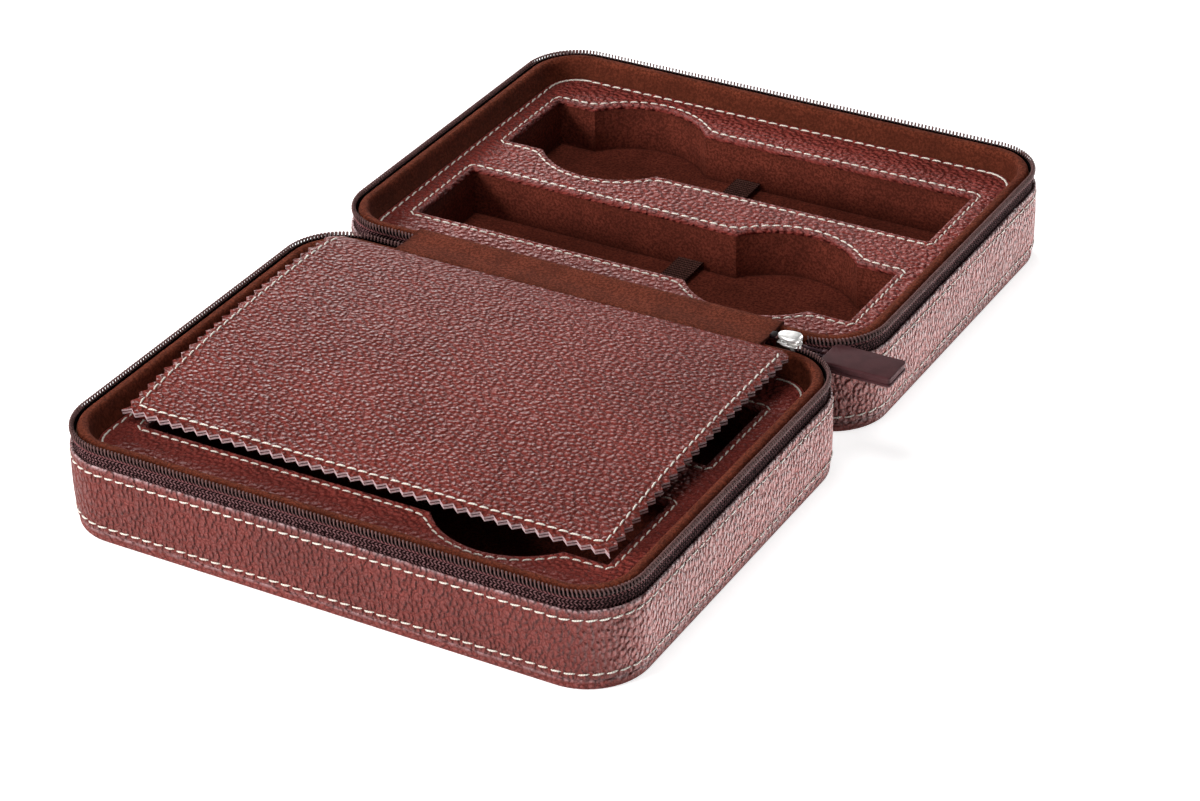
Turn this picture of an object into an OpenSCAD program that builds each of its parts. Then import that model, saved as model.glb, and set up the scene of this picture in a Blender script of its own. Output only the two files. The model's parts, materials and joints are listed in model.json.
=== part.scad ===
// Zip-round travel case for four watches, opened flat: two padded trays, a hinge strip,
// a divider page and a coil zip. All sizes are in millimetres. The origin is the middle
// of the back tray's underside, X runs along the hinge and Z is up.

/* [Trays] */
// Length of each tray, along the hinge
tray_l = 220; // [200:1:260]
// Width of each tray, across the hinge
tray_w = 168; // [160:1:200]
// Corner radius of the trays, seen from above
corner_r = 22.5; // [18:0.5:30]
// Space between the two trays when the case lies open
hinge_gap = 5; // [5:0.5:8]
// Height of the zip teeth above the table
rim_h = 38; // [37:0.5:46]

/* [Leather] */
// Thickness of the wall and base leather
leather_t = 1.4; // [1:0.1:1.8]
// Height of the base leather's turned-up edge
base_h = 3.6; // [3.2:0.1:4.5]
// Distance that the base edge sits in from the wall
base_inset = 0.6; // [0.2:0.1:1]
// Radius of the base leather's lower edge
base_edge_r = 2; // [1:0.1:2.4]
// Open groove between the base leather and the wall leather
groove_h = 0.7; // [0.4:0.1:1]
// Height of the wall leather's top edge
wall_top = 30.5; // [29:0.5:32]

/* [Frame] */
// Thickness of the frame's walls
frame_t = 3; // [2:0.1:3.6]
// Thickness of the frame's floor
frame_floor_t = 2; // [1.5:0.1:3]
// Thickness of the base board
board_t = 2; // [1.6:0.1:2]
// Gap between layers that are glued together
glue_gap = 0.1; // [0.05:0.01:0.15]
// Clearance between the insert and the frame
insert_clear = 0.3; // [0.2:0.05:0.5]

/* [Rim] */
// Radius of the padded lip
lip_r = 1.9; // [1.6:0.1:2.2]
// Width of the sloping lining between the lip and the panel
slope_w = 2.7; // [2:0.1:4]
// Thickness of the sloping lining
slope_t = 1.3; // [1:0.1:1.6]
// Gap between the lip and the hinge strip's underside
lip_drop = 0.1; // [0.05:0.05:0.4]

/* [Zip] */
// Thickness of the zip tape
tape_t = 0.7; // [0.5:0.05:0.8]
// Depth of tape sewn behind the wall leather
tape_sewn = 8.5; // [6:0.5:10]
// Width of the row of teeth
chain_w = 2.2; // [1.8:0.1:2.4]
// Height of the row of teeth
chain_h = 1.4; // [1.2:0.1:1.6]
// Distance from the tray's edge to the row of teeth
chain_inset = 0.6; // [0.4:0.1:1]
// Clearance between two zip pieces, or two tray rims, that move past each other
run_clear = 0.3; // [0.2:0.05:0.4]

/* [Panel and pockets] */
// Height of the panel's top
panel_top = 29; // [28:0.5:31]
// Thickness of the panel leather
panel_t = 1.2; // [0.8:0.1:1.6]
// Length of a watch pocket
pocket_len = 180; // [170:1:190]
// Width of a watch pocket
pocket_w = 40; // [34:1:44]
// Distance of a pocket's middle line from the tray's middle line
pocket_y = 33; // [31:0.5:34]
// Depth of a pocket below the panel's top
pocket_depth = 19.5; // [16:0.5:20]
// Radius of the round space for the watch head
head_r = 32; // [28:0.5:33]
// Distance of the watch head's middle from the tray's middle
head_x = 49; // [44:1:52]
// Thickness of the pocket lining
lining_t = 0.8; // [0.6:0.1:1]
// Width of the elastic band across a pocket
band_w = 11; // [8:1:14]
// Thickness of the elastic band
band_t = 0.9; // [0.6:0.1:1.2]
// Height of the band above the pocket's floor
band_h = 2.5; // [1.5:0.5:6]
// Distance of the band from the tray's middle, on the watch head's side
band_x = 5; // [2:1:8]

/* [Hinge strip] */
// Length of the hinge strip
strip_l = 148; // [130:1:152]
// Straight run of the rim between the strip and the corner, where the slider is parked
park_l = 11.5; // [10:0.5:16]
// Thickness of the suede strip
strip_t = 1; // [0.8:0.1:1.2]
// Thickness of the web under the strip
web_t = 0.8; // [0.6:0.1:1]
// Reach of the strip past the lip on the front tray
strip_reach = 0.6; // [0.2:0.1:1]

/* [Divider page] */
// Width of the page, along the hinge
page_w = 190; // [170:1:190]
// Length of the page, away from the hinge
page_l = 129.5; // [110:0.5:135]
// Middle of the page, along the hinge from the middle of the trays
page_x = -3.5; // [-4:0.5:4]
// Radius of the page's corners at the hinge
page_corner = 7; // [4:0.5:12]
// Thickness of each leather of the page
page_leather_t = 1; // [0.8:0.1:1.1]
// Thickness of the page's stiffener
page_board_t = 0.4; // [0.3:0.1:0.6]
// Width of the page's sewn border, which has no stiffener in it
page_border = 6; // [4:0.5:10]
// Drop of the page's free edge
page_drop = 6; // [4:0.5:7]
// Height of the arch along the page
page_rise = 1.5; // [0:0.1:2.5]
// Clearance between the page and the tongue that it is sewn to
page_clear = 0.3; // [0.2:0.05:0.5]
// Width of the tongue under the page
tongue_w = 4; // [3:0.5:6]

/* [Slider and pull] */
// Length of the slider
slider_l = 8.5; // [8:0.5:10]
// Width of the slider's mouth
slider_w = 6.2; // [5.6:0.1:6.4]
// Width of the slider's narrow end
slider_end_w = 5.2; // [4.8:0.1:5.4]
// Thickness of the slider's plates
plate_t = 0.8; // [0.6:0.1:1]
// Width of the closed row of teeth
closed_chain_w = 3.2; // [2.8:0.1:3.6]
// Length of the stop at the start of the zip
stop_l = 2.4; // [2:0.1:3]
// Space between the stop and the slider
stop_gap = 0.7; // [0.5:0.1:1]
// Thickness of the bridge and the link
link_t = 0.9; // [0.8:0.1:1]
// Width of the link
link_w = 4; // [3.6:0.1:4.4]
// Length of the link, from its pivot to the tab's pivot
link_l = 11; // [10:0.5:13]
// Clearance around the link's cross bars
link_clear = 0.25; // [0.2:0.05:0.4]
// Length of the pull tab
tab_l = 27; // [22:1:32]
// Width of the pull tab
tab_w = 13.6; // [10:0.2:14]
// Thickness of the pull tab
tab_t = 3.9; // [3.6:0.1:4.2]
// Thickness of the tab's face and back
tab_skin = 1.1; // [0.8:0.1:1.3]
// Distance that the tab's middle hangs below the link
tab_drop = 0.5; // [0.4:0.1:1]

/* [Hidden] */
$fn = 48;

leather_colour = [0.42, 0.19, 0.16];
suede_colour = [0.47, 0.24, 0.14];
lining_colour = [0.33, 0.16, 0.1];
board_colour = [0.62, 0.52, 0.4];
foam_colour = [0.25, 0.23, 0.22];
zip_colour = [0.16, 0.1, 0.1];
metal_colour = [0.8, 0.8, 0.82];
tab_colour = [0.32, 0.17, 0.17];

eps = 0.01; // how far a cutter runs past the face that it cuts

// Hinge line: midway between the trays, just above the teeth
hinge_y = -(tray_w + hinge_gap) / 2;
hinge_z = rim_h + run_clear / 2;
front_y = -(tray_w + hinge_gap); // the front tray's middle
leaf_gap = run_clear / 2;        // each leaf of the strip stops this far from the hinge line

// Layers of a tray, as distances in from its edge
tape_inset = leather_t + glue_gap;
frame_inset = tape_inset + tape_t + glue_gap;
frame_in = frame_inset + frame_t;
insert_inset = frame_in + insert_clear;
lip_inset = chain_inset + chain_w + run_clear; // outer side of the lip
lip_mid = lip_inset + lip_r;                   // crest of the lip
lip_in = lip_inset + 2 * lip_r;                // inner side of the lip
slope_in = lip_in + slope_w;                   // foot of the sloping lining

// Heights
strip_z = rim_h - strip_t;           // underside of the hinge strip
lip_z = strip_z - lip_drop - lip_r;  // middle of the lip's rounding
frame_top = lip_z - lip_r;
chain_z = rim_h - chain_h;
tape_z = wall_top - tape_sewn;
wall_z = base_h + groove_h;
frame_z = base_h + glue_gap;
insert_z = frame_z + frame_floor_t;
insert_top = panel_top - panel_t;
pocket_z = panel_top - pocket_depth;
board_z = leather_t;

base_lap = 1; // the turned-up edge runs in over the bottom skin by this much

// Ends of the strip and of the zip
strip_x1 = tray_l / 2 - corner_r - park_l;
strip_x0 = strip_x1 - strip_l;
stop_x = strip_x1 + run_clear;
slider_x = stop_x + stop_l + stop_gap;
slider_end = slider_x + slider_l;
zip_x0 = strip_x0 - run_clear;   // the chains end here at the left
zip_x1 = slider_end + run_clear; // and here at the right

// Divider page: hinge_y + page_y is its pivot line
page_t = 2 * page_leather_t + page_board_t;
strip_front = hinge_gap / 2 + lip_in + strip_reach; // the strip's edge on the front tray
tongue_top = strip_z + strip_t / 2;
page_z = tongue_top + page_clear + page_t / 2;
page_pivot_y = hinge_y - strip_front - page_t / 2;
page_start = page_clear; // the page begins this far from its pivot line
page_steps = 12;

// Slider, in heights above the hinge line
channel_low = -chain_h - run_clear - leaf_gap;
channel_high = run_clear;
plate_low = channel_low - plate_t;
closed_x = slider_x + slider_l / 2 - run_clear; // the closed row ends inside the slider
post_l = 2.4;
flange_h = 0.4;
flange_t = 0.5;

// Bridge, link and tab
bridge_w = 1.4;
bridge_x = slider_end - link_t;       // the bridge's right leg
link_z = plate_low - link_clear - link_t / 2;
bridge_low = link_z - link_t / 2 - link_clear - link_t;
link_x = bridge_x - link_clear - link_t / 2; // pivot line of the link in the bridge
bridge_play = 1; // length that the link swings in
bridge_l = 2 * link_clear + 3 * link_t + bridge_play;
tab_x = link_x + link_l;                 // pivot line of the tab on the link
tab_start = tab_x + link_t / 2 + link_clear; // the tab's inner end
tab_z = link_z - tab_drop;
tab_r = 1.2;       // corners at the tab's free end
tab_inner_r = 2.8; // corners at the link, clear of both trays
ear_w = link_w - 2 * link_t - 2 * link_clear;
ear_hole = link_t / 2 + link_clear; // half of the hole round the link's bar
ear = ear_hole + link_t;            // half of the ear round that hole

// ---- Outlines ----

// Rectangle with round corners, in from a tray's edge by inset
module tray_outline(inset) {
    l = tray_l - 2 * inset;
    w = tray_w - 2 * inset;
    r = corner_r - inset;
    rounded_rect(l, w, r);
}

module rounded_rect(l, w, r) {
    square([l - 2 * r, w], center = true);
    square([l, w - 2 * r], center = true);
    for (x = [-1, 1], y = [-1, 1])
        translate([x * (l / 2 - r), y * (w / 2 - r)])
            circle(r);
}

// Ring between two distances in from a tray's edge
module tray_ring(outer, inner, z0, z1) {
    translate([0, 0, z0])
        linear_extrude(z1 - z0)
            difference() {
                tray_outline(outer);
                tray_outline(inner);
            }
}

module tray_slab(inset, z0, z1) {
    translate([0, 0, z0])
        linear_extrude(z1 - z0)
            tray_outline(inset);
}

// Sweeps a profile of (distance in, height) round a tray
module tray_sweep() {
    for (a = [0, 180])
        rotate(a)
            tray_side(tray_l, tray_w)
                children();
    for (a = [90, 270])
        rotate(a)
            tray_side(tray_w, tray_l)
                children();
    for (x = [-1, 1], y = [-1, 1])
        translate([x * (tray_l / 2 - corner_r), y * (tray_w / 2 - corner_r), 0])
            rotate(x > 0 ? (y > 0 ? 0 : 270) : (y > 0 ? 90 : 180))
                rotate_extrude(angle = 90)
                    translate([corner_r, 0])
                        mirror([1, 0])
                            children();
}

// One straight side of the sweep, of a tray that is l long and w wide
module tray_side(l, w) {
    translate([-(l / 2 - corner_r), -w / 2, 0])
        rotate([90, 0, 90])
            linear_extrude(l - 2 * corner_r)
                children();
}

// Block over the hinge side of a tray, from x0 to x1
module hinge_side_block(x0, x1) {
    translate([x0, -tray_w / 2 - eps, tape_z - eps])
        cube([x1 - x0, slope_in, rim_h - tape_z + 2 * eps]);
}

// Watch pocket seen from above: a strap run with a round space for the watch head.
// grow widens it on every side, for the lining and for the hole that takes the lining.
module pocket_outline(grow) {
    square([pocket_len + 2 * grow, pocket_w + 2 * grow], center = true);
    translate([-head_x, 0])
        circle(head_r + grow);
}

// ---- Pieces of one tray, in the tray's own frame with the hinge side towards -Y ----

module base_leather() {
    color(leather_colour) {
        tray_slab(base_inset + base_edge_r, 0, leather_t);
        tray_sweep()
            difference() {
                union() {
                    translate([base_inset + base_edge_r, base_edge_r])
                        circle(base_edge_r);
                    translate([base_inset, base_edge_r])
                        square([base_edge_r, base_h - base_edge_r]);
                    translate([base_inset + base_edge_r, 0])
                        square([base_lap, base_h]);
                }
                translate([base_inset + leather_t, leather_t])
                    square([2 * base_edge_r + base_lap, base_h]);
            }
    }
}

module base_board() {
    color(board_colour)
        tray_slab(base_inset + leather_t + glue_gap, board_z, board_z + board_t);
}

module frame_shell() {
    color(board_colour) {
        tray_slab(frame_inset, frame_z, insert_z);
        tray_ring(frame_inset, frame_in, insert_z, frame_top);
    }
}

module wall_leather() {
    color(leather_colour)
        tray_ring(0, leather_t, wall_z, wall_top);
}

// The tape and the teeth run round the tray from one end of the hinge strip to the slider.
// The front tray is the back tray turned round, so its strip runs the other way.
module zip_tape(turned) {
    color(zip_colour)
        difference() {
            tray_ring(tape_inset, tape_inset + tape_t, tape_z, chain_z);
            hinge_side_block(zip_start(turned), zip_end(turned));
        }
}

module zip_chain(turned) {
    color(zip_colour)
        difference() {
            tray_ring(chain_inset, chain_inset + chain_w, chain_z, rim_h);
            hinge_side_block(zip_start(turned), zip_end(turned));
        }
}

function zip_start(turned) = turned ? -zip_x1 : zip_x0;
function zip_end(turned) = turned ? -zip_x0 : zip_x1;
function strip_start(turned) = turned ? -strip_x1 : strip_x0;

module rim_lining() {
    color(suede_colour)
        tray_sweep() {
            translate([lip_mid, lip_z])
                circle(lip_r);
            translate([lip_inset, frame_top])
                square([2 * lip_r, lip_r]);
            polygon([[lip_in, lip_z], [slope_in, panel_top], [slope_in - slope_t, panel_top],
                [lip_in - slope_t, frame_top]]);
        }
}

module panel() {
    color(leather_colour)
        translate([0, 0, insert_top])
            linear_extrude(panel_t)
                difference() {
                    tray_outline(insert_inset);
                    both_pockets()
                        pocket_outline(0);
                }
}

module insert() {
    color(foam_colour)
        difference() {
            tray_slab(insert_inset, insert_z, insert_top);
            translate([0, 0, pocket_z - lining_t - glue_gap])
                linear_extrude(insert_top)
                    both_pockets()
                        pocket_outline(lining_t + glue_gap);
        }
}

// Suede lining of one pocket, as a tub
module pocket_lining(turn) {
    color(lining_colour)
        rotate(turn)
            translate([0, pocket_y, 0])
                difference() {
                    translate([0, 0, pocket_z - lining_t])
                        linear_extrude(insert_top - pocket_z + lining_t)
                            pocket_outline(lining_t);
                    translate([0, 0, pocket_z])
                        linear_extrude(panel_top)
                            pocket_outline(0);
                }
}

// Elastic band across one pocket
module band(turn) {
    color(zip_colour)
        rotate(turn)
            translate([-band_x, pocket_y, pocket_z + band_h + band_t / 2])
                cube([band_w, pocket_w, band_t], center = true);
}

module both_pockets() {
    for (turn = [0, 180])
        rotate(turn)
            translate([0, pocket_y])
                children();
}

// Leather web sewn behind the wall leather, which bridges the gap between the trays
module hinge_web(turned) {
    x0 = strip_start(turned);
    l = strip_l;
    y0 = -tray_w / 2;
    color(leather_colour)
        translate([x0, y0, 0]) {
            translate([0, tape_inset, tape_z])
                cube([l, tape_t, strip_z - web_t - tape_z]);
            translate([0, leaf_gap - hinge_gap / 2, strip_z - web_t])
                cube([l, hinge_gap / 2 - leaf_gap + tape_inset + tape_t, web_t]);
        }
}

// Suede strip over the web and the lip. The front tray's leaf goes on under the page.
module hinge_strip(turned) {
    y0 = -tray_w / 2 - hinge_gap / 2 + leaf_gap;
    reach = turned ? strip_front : hinge_gap / 2 + lip_in;
    color(suede_colour)
        translate([strip_start(turned), y0, 0]) {
            translate([0, 0, strip_z])
                cube([strip_l, reach - leaf_gap, strip_t]);
            if (turned)
                translate([0, reach - leaf_gap - strip_t, tongue_top - strip_t])
                    cube([strip_l, tongue_w + strip_t, strip_t]);
        }
}

// Puts a piece of a tray in the front tray's place: turned round and across the hinge
module front() {
    translate([0, front_y, 0])
        rotate(180)
            children();
}

// ---- Divider page ----

// Height of the page's middle at a distance s from its pivot line
function page_mid(s) = page_rise * 4 * (s / page_l) * (1 - s / page_l)
    - page_drop * pow(s / page_l, 2);

// Distances from the pivot line at which the page bends. The stiffener has all but the
// first and the last of them.
page_inner = [for (i = [0 : page_steps])
    page_start + page_border + (page_l - 2 * page_border - page_start) * i / page_steps];
page_stations = concat([page_start], page_inner, [page_l]);

// One layer of the page, w wide, through the given stations, between two heights above
// the page's middle
module page_layer(low, high, w, stations) {
    last = len(stations) - 1;
    upper = [for (s = stations) [-s, page_mid(s) + high]];
    lower = [for (i = [last : -1 : 0]) [-stations[i], page_mid(stations[i]) + low]];
    intersection() {
        translate([page_x - w / 2 - eps, page_pivot_y, page_z])
            rotate([90, 0, 90])
                linear_extrude(w + 2 * eps)
                    polygon(concat(upper, lower));
        translate([page_x, page_pivot_y - stations[0]])
            linear_extrude(page_z + page_rise + page_t)
                page_plan(w);
    }
}

// The page in plan, w wide, from the hinge on: its corners there are round
module page_plan(w) {
    hull() {
        for (side = [-1, 1])
            translate([side * (w / 2 - page_corner), -page_corner])
                circle(page_corner);
        translate([-w / 2, -page_l])
            square([w, page_corner]);
    }
}

module page_top_leather() {
    color(leather_colour)
        page_layer(page_board_t / 2, page_t / 2, page_w, page_stations);
}

module page_stiffener() {
    color(board_colour)
        page_layer(-page_board_t / 2, page_board_t / 2, page_w - 2 * page_border, page_inner);
}

module page_under_leather() {
    color(leather_colour)
        page_layer(-page_t / 2, -page_board_t / 2, page_w, page_stations);
}

// ---- Zip stop, slider and pull, about the hinge line ----

module at_hinge(x, z) {
    translate([x, hinge_y, hinge_z + z])
        children();
}

// Box on the hinge line's middle plane, from x0 to x1 and z0 to z1
module hinge_box(x0, x1, w, z0, z1) {
    at_hinge(x0, z0)
        translate([0, -w / 2, 0])
            cube([x1 - x0, w, z1 - z0]);
}

module zip_stop() {
    color(zip_colour)
        hinge_box(stop_x, stop_x + stop_l, closed_chain_w, -chain_h - leaf_gap, 0);
}

module closed_chain() {
    color(zip_colour)
        hinge_box(stop_x + stop_l, closed_x, closed_chain_w, -chain_h - leaf_gap, 0);
}

// Heart-shaped outline of a slider plate, wide at the mouth
module slider_plate(z0, z1) {
    at_hinge(slider_x, z0)
        linear_extrude(z1 - z0)
            polygon([[0, -slider_end_w / 2], [slider_l / 2, -slider_end_w / 2],
                [slider_l, -slider_w / 2], [slider_l, slider_w / 2],
                [slider_l / 2, slider_end_w / 2], [0, slider_end_w / 2]]);
}

module slider_body() {
    color(metal_colour) {
        slider_plate(plate_low, channel_low);
        slider_plate(channel_high, channel_high + plate_t);
        hinge_box(slider_end - post_l, slider_end, 2 * plate_t, channel_low, channel_high);
        for (side = [-1, 1], z = [channel_low, channel_high - flange_h])
            at_hinge(slider_x, z)
                translate([0, side * (slider_end_w - flange_t) / 2 - flange_t / 2, 0])
                    cube([slider_l / 2, flange_t, flange_h]);
    }
}

// Loop under the slider's outer plate, which holds the link
module slider_bridge() {
    color(metal_colour)
        difference() {
            hinge_box(slider_end - bridge_l, slider_end, bridge_w, bridge_low, plate_low);
            hinge_box(slider_end - bridge_l + link_t, bridge_x, bridge_w + 2 * eps,
                bridge_low + link_t, plate_low + eps);
        }
}

// Flat ring with a bar through the bridge and a bar in the tab
module pull_link() {
    x0 = link_x - link_t / 2;
    x1 = tab_x + link_t / 2;
    z0 = link_z - link_t / 2;
    color(metal_colour)
        difference() {
            hinge_box(x0, x1, link_w, z0, z0 + link_t);
            hinge_box(x0 + link_t, x1 - link_t, link_w - 2 * link_t, z0 - eps, z0 + link_t + eps);
        }
}

// One layer of the tab
module tab_layer(z0, z1) {
    at_hinge(tab_start + tab_l / 2, z0)
        linear_extrude(z1 - z0)
            hull()
                for (end = [-1, 1], side = [-1, 1]) {
                    r = end < 0 ? tab_inner_r : tab_r;
                    translate([end * (tab_l / 2 - r), side * (tab_w / 2 - r)])
                        circle(r);
                }
}

// Middle layer of the tab, with an ear round the link's bar
module tab_core() {
    color(tab_colour) {
        tab_layer(tab_z - tab_t / 2 + tab_skin, tab_z + tab_t / 2 - tab_skin);
        difference() {
            hinge_box(tab_x - ear, tab_start, ear_w, link_z - ear, link_z + ear);
            hinge_box(tab_x - ear_hole, tab_x + ear_hole, ear_w + 2 * eps,
                link_z - ear_hole, link_z + ear_hole);
        }
    }
}

module tab_face() {
    color(tab_colour)
        tab_layer(tab_z + tab_t / 2 - tab_skin, tab_z + tab_t / 2);
}

module tab_back() {
    color(tab_colour)
        tab_layer(tab_z - tab_t / 2, tab_z - tab_t / 2 + tab_skin);
}

base_leather();  // back_base_leather
base_board();  // back_base_board
frame_shell();  // back_frame
wall_leather();  // back_wall_leather
zip_tape(false);  // back_zip_tape
zip_chain(false);  // back_zip_chain
rim_lining();  // back_rim_lining
panel();  // back_panel
insert();  // back_insert
pocket_lining(0);  // back_pocket_lining_a
pocket_lining(180);  // back_pocket_lining_b
band(0);  // back_band_a
band(180);  // back_band_b
hinge_web(false);  // back_hinge_web
hinge_strip(false);  // back_hinge_strip
front() base_leather();  // front_base_leather
front() base_board();  // front_base_board
front() frame_shell();  // front_frame
front() wall_leather();  // front_wall_leather
front() zip_tape(true);  // front_zip_tape
front() zip_chain(true);  // front_zip_chain
front() rim_lining();  // front_rim_lining
front() panel();  // front_panel
front() insert();  // front_insert
front() pocket_lining(0);  // front_pocket_lining_a
front() pocket_lining(180);  // front_pocket_lining_b
front() band(0);  // front_band_a
front() band(180);  // front_band_b
front() hinge_web(true);  // front_hinge_web
front() hinge_strip(true);  // front_hinge_strip
page_top_leather();
page_stiffener();
page_under_leather();
zip_stop();
closed_chain();
slider_body();
slider_bridge();
pull_link();
tab_core();
tab_face();
tab_back();
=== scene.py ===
"""Zip-round travel case for four watches, opened flat: leather shells, suede rims and
pocket linings, a coil zip with its slider and pull, a hinge strip and a pinked page."""

import json
import math

import bmesh
import bpy
from bpy.props import FloatProperty, FloatVectorProperty, IntProperty, PointerProperty
from mathutils import Matrix, Vector, noise
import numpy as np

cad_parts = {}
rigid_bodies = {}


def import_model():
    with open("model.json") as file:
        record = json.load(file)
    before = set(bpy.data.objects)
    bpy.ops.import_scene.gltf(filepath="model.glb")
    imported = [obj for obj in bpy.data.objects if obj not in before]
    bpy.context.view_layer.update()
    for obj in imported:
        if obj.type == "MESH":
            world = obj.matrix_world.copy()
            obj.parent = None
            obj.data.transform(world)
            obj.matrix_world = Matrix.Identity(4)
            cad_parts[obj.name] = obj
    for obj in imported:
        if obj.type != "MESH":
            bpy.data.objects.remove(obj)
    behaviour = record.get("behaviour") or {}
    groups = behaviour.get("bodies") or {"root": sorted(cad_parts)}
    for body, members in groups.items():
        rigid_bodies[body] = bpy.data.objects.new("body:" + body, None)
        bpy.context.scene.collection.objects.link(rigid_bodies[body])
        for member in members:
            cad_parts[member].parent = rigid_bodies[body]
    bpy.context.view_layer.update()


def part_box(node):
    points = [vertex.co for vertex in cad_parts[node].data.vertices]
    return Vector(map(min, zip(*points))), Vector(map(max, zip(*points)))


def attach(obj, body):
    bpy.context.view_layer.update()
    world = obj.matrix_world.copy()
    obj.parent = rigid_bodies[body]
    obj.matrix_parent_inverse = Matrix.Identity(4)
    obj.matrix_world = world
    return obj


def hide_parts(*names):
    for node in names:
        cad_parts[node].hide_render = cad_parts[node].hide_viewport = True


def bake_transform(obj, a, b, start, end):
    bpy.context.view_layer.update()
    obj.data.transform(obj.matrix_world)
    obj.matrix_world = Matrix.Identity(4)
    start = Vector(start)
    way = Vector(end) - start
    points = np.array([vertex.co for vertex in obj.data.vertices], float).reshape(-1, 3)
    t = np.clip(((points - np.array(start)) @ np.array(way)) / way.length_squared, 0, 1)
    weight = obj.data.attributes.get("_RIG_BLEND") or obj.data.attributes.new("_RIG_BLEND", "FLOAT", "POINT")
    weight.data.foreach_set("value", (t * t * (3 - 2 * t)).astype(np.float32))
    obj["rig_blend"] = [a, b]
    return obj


bl_info = {
    "name": "Watch travel case",
    "version": (1, 0, 0),
    "blender": (4, 5, 0),
    "location": "View3D > Sidebar > Case",
    "description": "Builds the leather, suede, stitching and zip of a watch travel case",
    "category": "Object",
}

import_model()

MM = 0.001
TRAYS = ("back", "front")


def node_size(node, axis):
    low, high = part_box(node)
    return high[axis] - low[axis]


# ---- Sizes taken from the frame ----

TRAY_L = node_size("back_wall_leather", 0)
TRAY_W = node_size("back_wall_leather", 1)
FRONT_Y = (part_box("front_wall_leather")[0].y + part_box("front_wall_leather")[1].y) / 2
HINGE_Y = FRONT_Y / 2
RIM_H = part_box("back_zip_chain")[1].z
HINGE_Z = RIM_H + 0.15 * MM
WALL_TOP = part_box("back_wall_leather")[1].z
WALL_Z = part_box("back_wall_leather")[0].z
BASE_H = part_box("back_base_leather")[1].z
PANEL_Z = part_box("back_panel")[1].z
POCKET_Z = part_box("back_pocket_lining_a")[0].z + 0.8 * MM
STRIP_X0, STRIP_X1 = (p.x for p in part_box("back_hinge_strip"))
SLIDER_X0, SLIDER_X1 = (p.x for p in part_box("slider_body"))
PAGE_LOW, PAGE_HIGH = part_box("page_top_leather")
CORNER_R = 22.5 * MM

# Straight runs and corners of a tray's edge, walked from the middle of the hinge side
# towards -X: (start or centre, start angle or direction, length)
RUN_L = TRAY_L / 2 - CORNER_R
RUN_W = TRAY_W / 2 - CORNER_R
CORNER_LEN = CORNER_R * math.pi / 2
EDGE_LEN = 4 * (RUN_L + RUN_W + CORNER_LEN)

# Coil: its middle's distance in from a tray's edge, its height, and its gap to the strip
COIL_IN = 1.32 * MM
COIL_Z = 36.55 * MM
ZIP_GAP = 0.3 * MM

# Step along an edge that gives a stitch or a turn of the coil its direction
AHEAD = 0.4 * MM

# Watch pockets, about the pocket's own middle
POCKET_Y = 33 * MM
POCKET_HALF = 90 * MM
POCKET_SIDE = 20 * MM
HEAD_R = 32 * MM
HEAD_X = 49 * MM
BAND_X = 5 * MM
BAND_Z = 12 * MM

# Divider page, from its pivot line
PAGE_START = 0.3 * MM
PAGE_PIVOT = Vector(((PAGE_LOW.x + PAGE_HIGH.x) / 2, PAGE_HIGH.y + PAGE_START, 39 * MM))
PAGE_W = PAGE_HIGH.x - PAGE_LOW.x
PAGE_L = PAGE_PIVOT.y - PAGE_LOW.y
PAGE_CORNER = 7 * MM
PAGE_DROP = 6 * MM
PAGE_RISE = 1.5 * MM

# Noise scale of the suede's fibres, and steps in a rounded corner of the pull
SUEDE_FIBRE = 1000.0
CORNER_STEPS = 5


def linear(r, g, b):
    """Scene colour of an sRGB colour given as 0 to 255."""
    return tuple(
        (c / 255 / 12.92) if c <= 10 else ((c / 255 + 0.055) / 1.055) ** 2.4 for c in (r, g, b)
    )


# ---- Settings ----


def colour_field(name, text, default):
    return FloatVectorProperty(name=name, description=text, default=default, subtype="COLOR",
                               size=3, min=0.0, max=1.0)


def length_field(name, text, default, low, high):
    """Length setting, given in millimetres."""
    return FloatProperty(name=name, description=text, default=default * MM, min=low * MM,
                         max=high * MM, unit="LENGTH", precision=5)


class CaseLeather(bpy.types.PropertyGroup):
    colour: colour_field("Colour", "Colour of the pebbled leather", linear(119, 47, 40))
    # Crest: painted highlight that lightens the tops of the pebbles
    pebble_top_highlight: colour_field("Crest", "Colour on the rubbed tops of the pebbles", linear(158, 98, 92))
    # Crease: painted shade that darkens the valleys of the grain
    crease_shade: colour_field("Crease", "Colour in the creases of the grain", linear(38, 9, 8))
    raw_edge: colour_field("Raw edge", "Colour of a cut leather edge", linear(222, 190, 192))
    pebble: length_field("Pebble", "Size of one pebble of the grain", 2.3, 0.5, 6)
    puff: length_field("Puff", "Swell of the wall leather between its stitch lines", 0.22, 0, 1)


class CaseThread(bpy.types.PropertyGroup):
    colour: colour_field("Colour", "Colour of the sewing thread", linear(250, 240, 226))
    pitch: length_field("Pitch", "Distance from one stitch to the next", 4.36, 1, 8)
    width: length_field("Width", "Thickness of one stitch", 0.72, 0.3, 1.5)
    slant: FloatProperty(
        name="Slant", description="Slant of a stitch against its line",
        default=math.radians(7), min=0, max=math.radians(30), unit="ROTATION")


class CaseSuede(bpy.types.PropertyGroup):
    rim: colour_field("Rim", "Colour of the padded rim and the hinge strip", linear(124, 60, 42))
    lining: colour_field("Lining", "Colour of the pocket linings", linear(118, 55, 42))


class CaseZip(bpy.types.PropertyGroup):
    pitch: length_field("Pitch", "Distance from one turn of the coil to the next", 1.46, 0.8, 3)
    coil: colour_field("Coil", "Colour of the nylon coil", linear(112, 82, 80))
    tape: colour_field("Tape", "Ground colour of the woven tape", linear(20, 8, 9))
    fleck: colour_field("Fleck", "Colour of the tape's raised threads", linear(138, 98, 100))
    metal: colour_field("Metal", "Colour of the slider's plating", (0.95, 0.93, 0.91))
    tab: colour_field("Tab", "Colour of the pull tab", linear(76, 42, 45))


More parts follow.
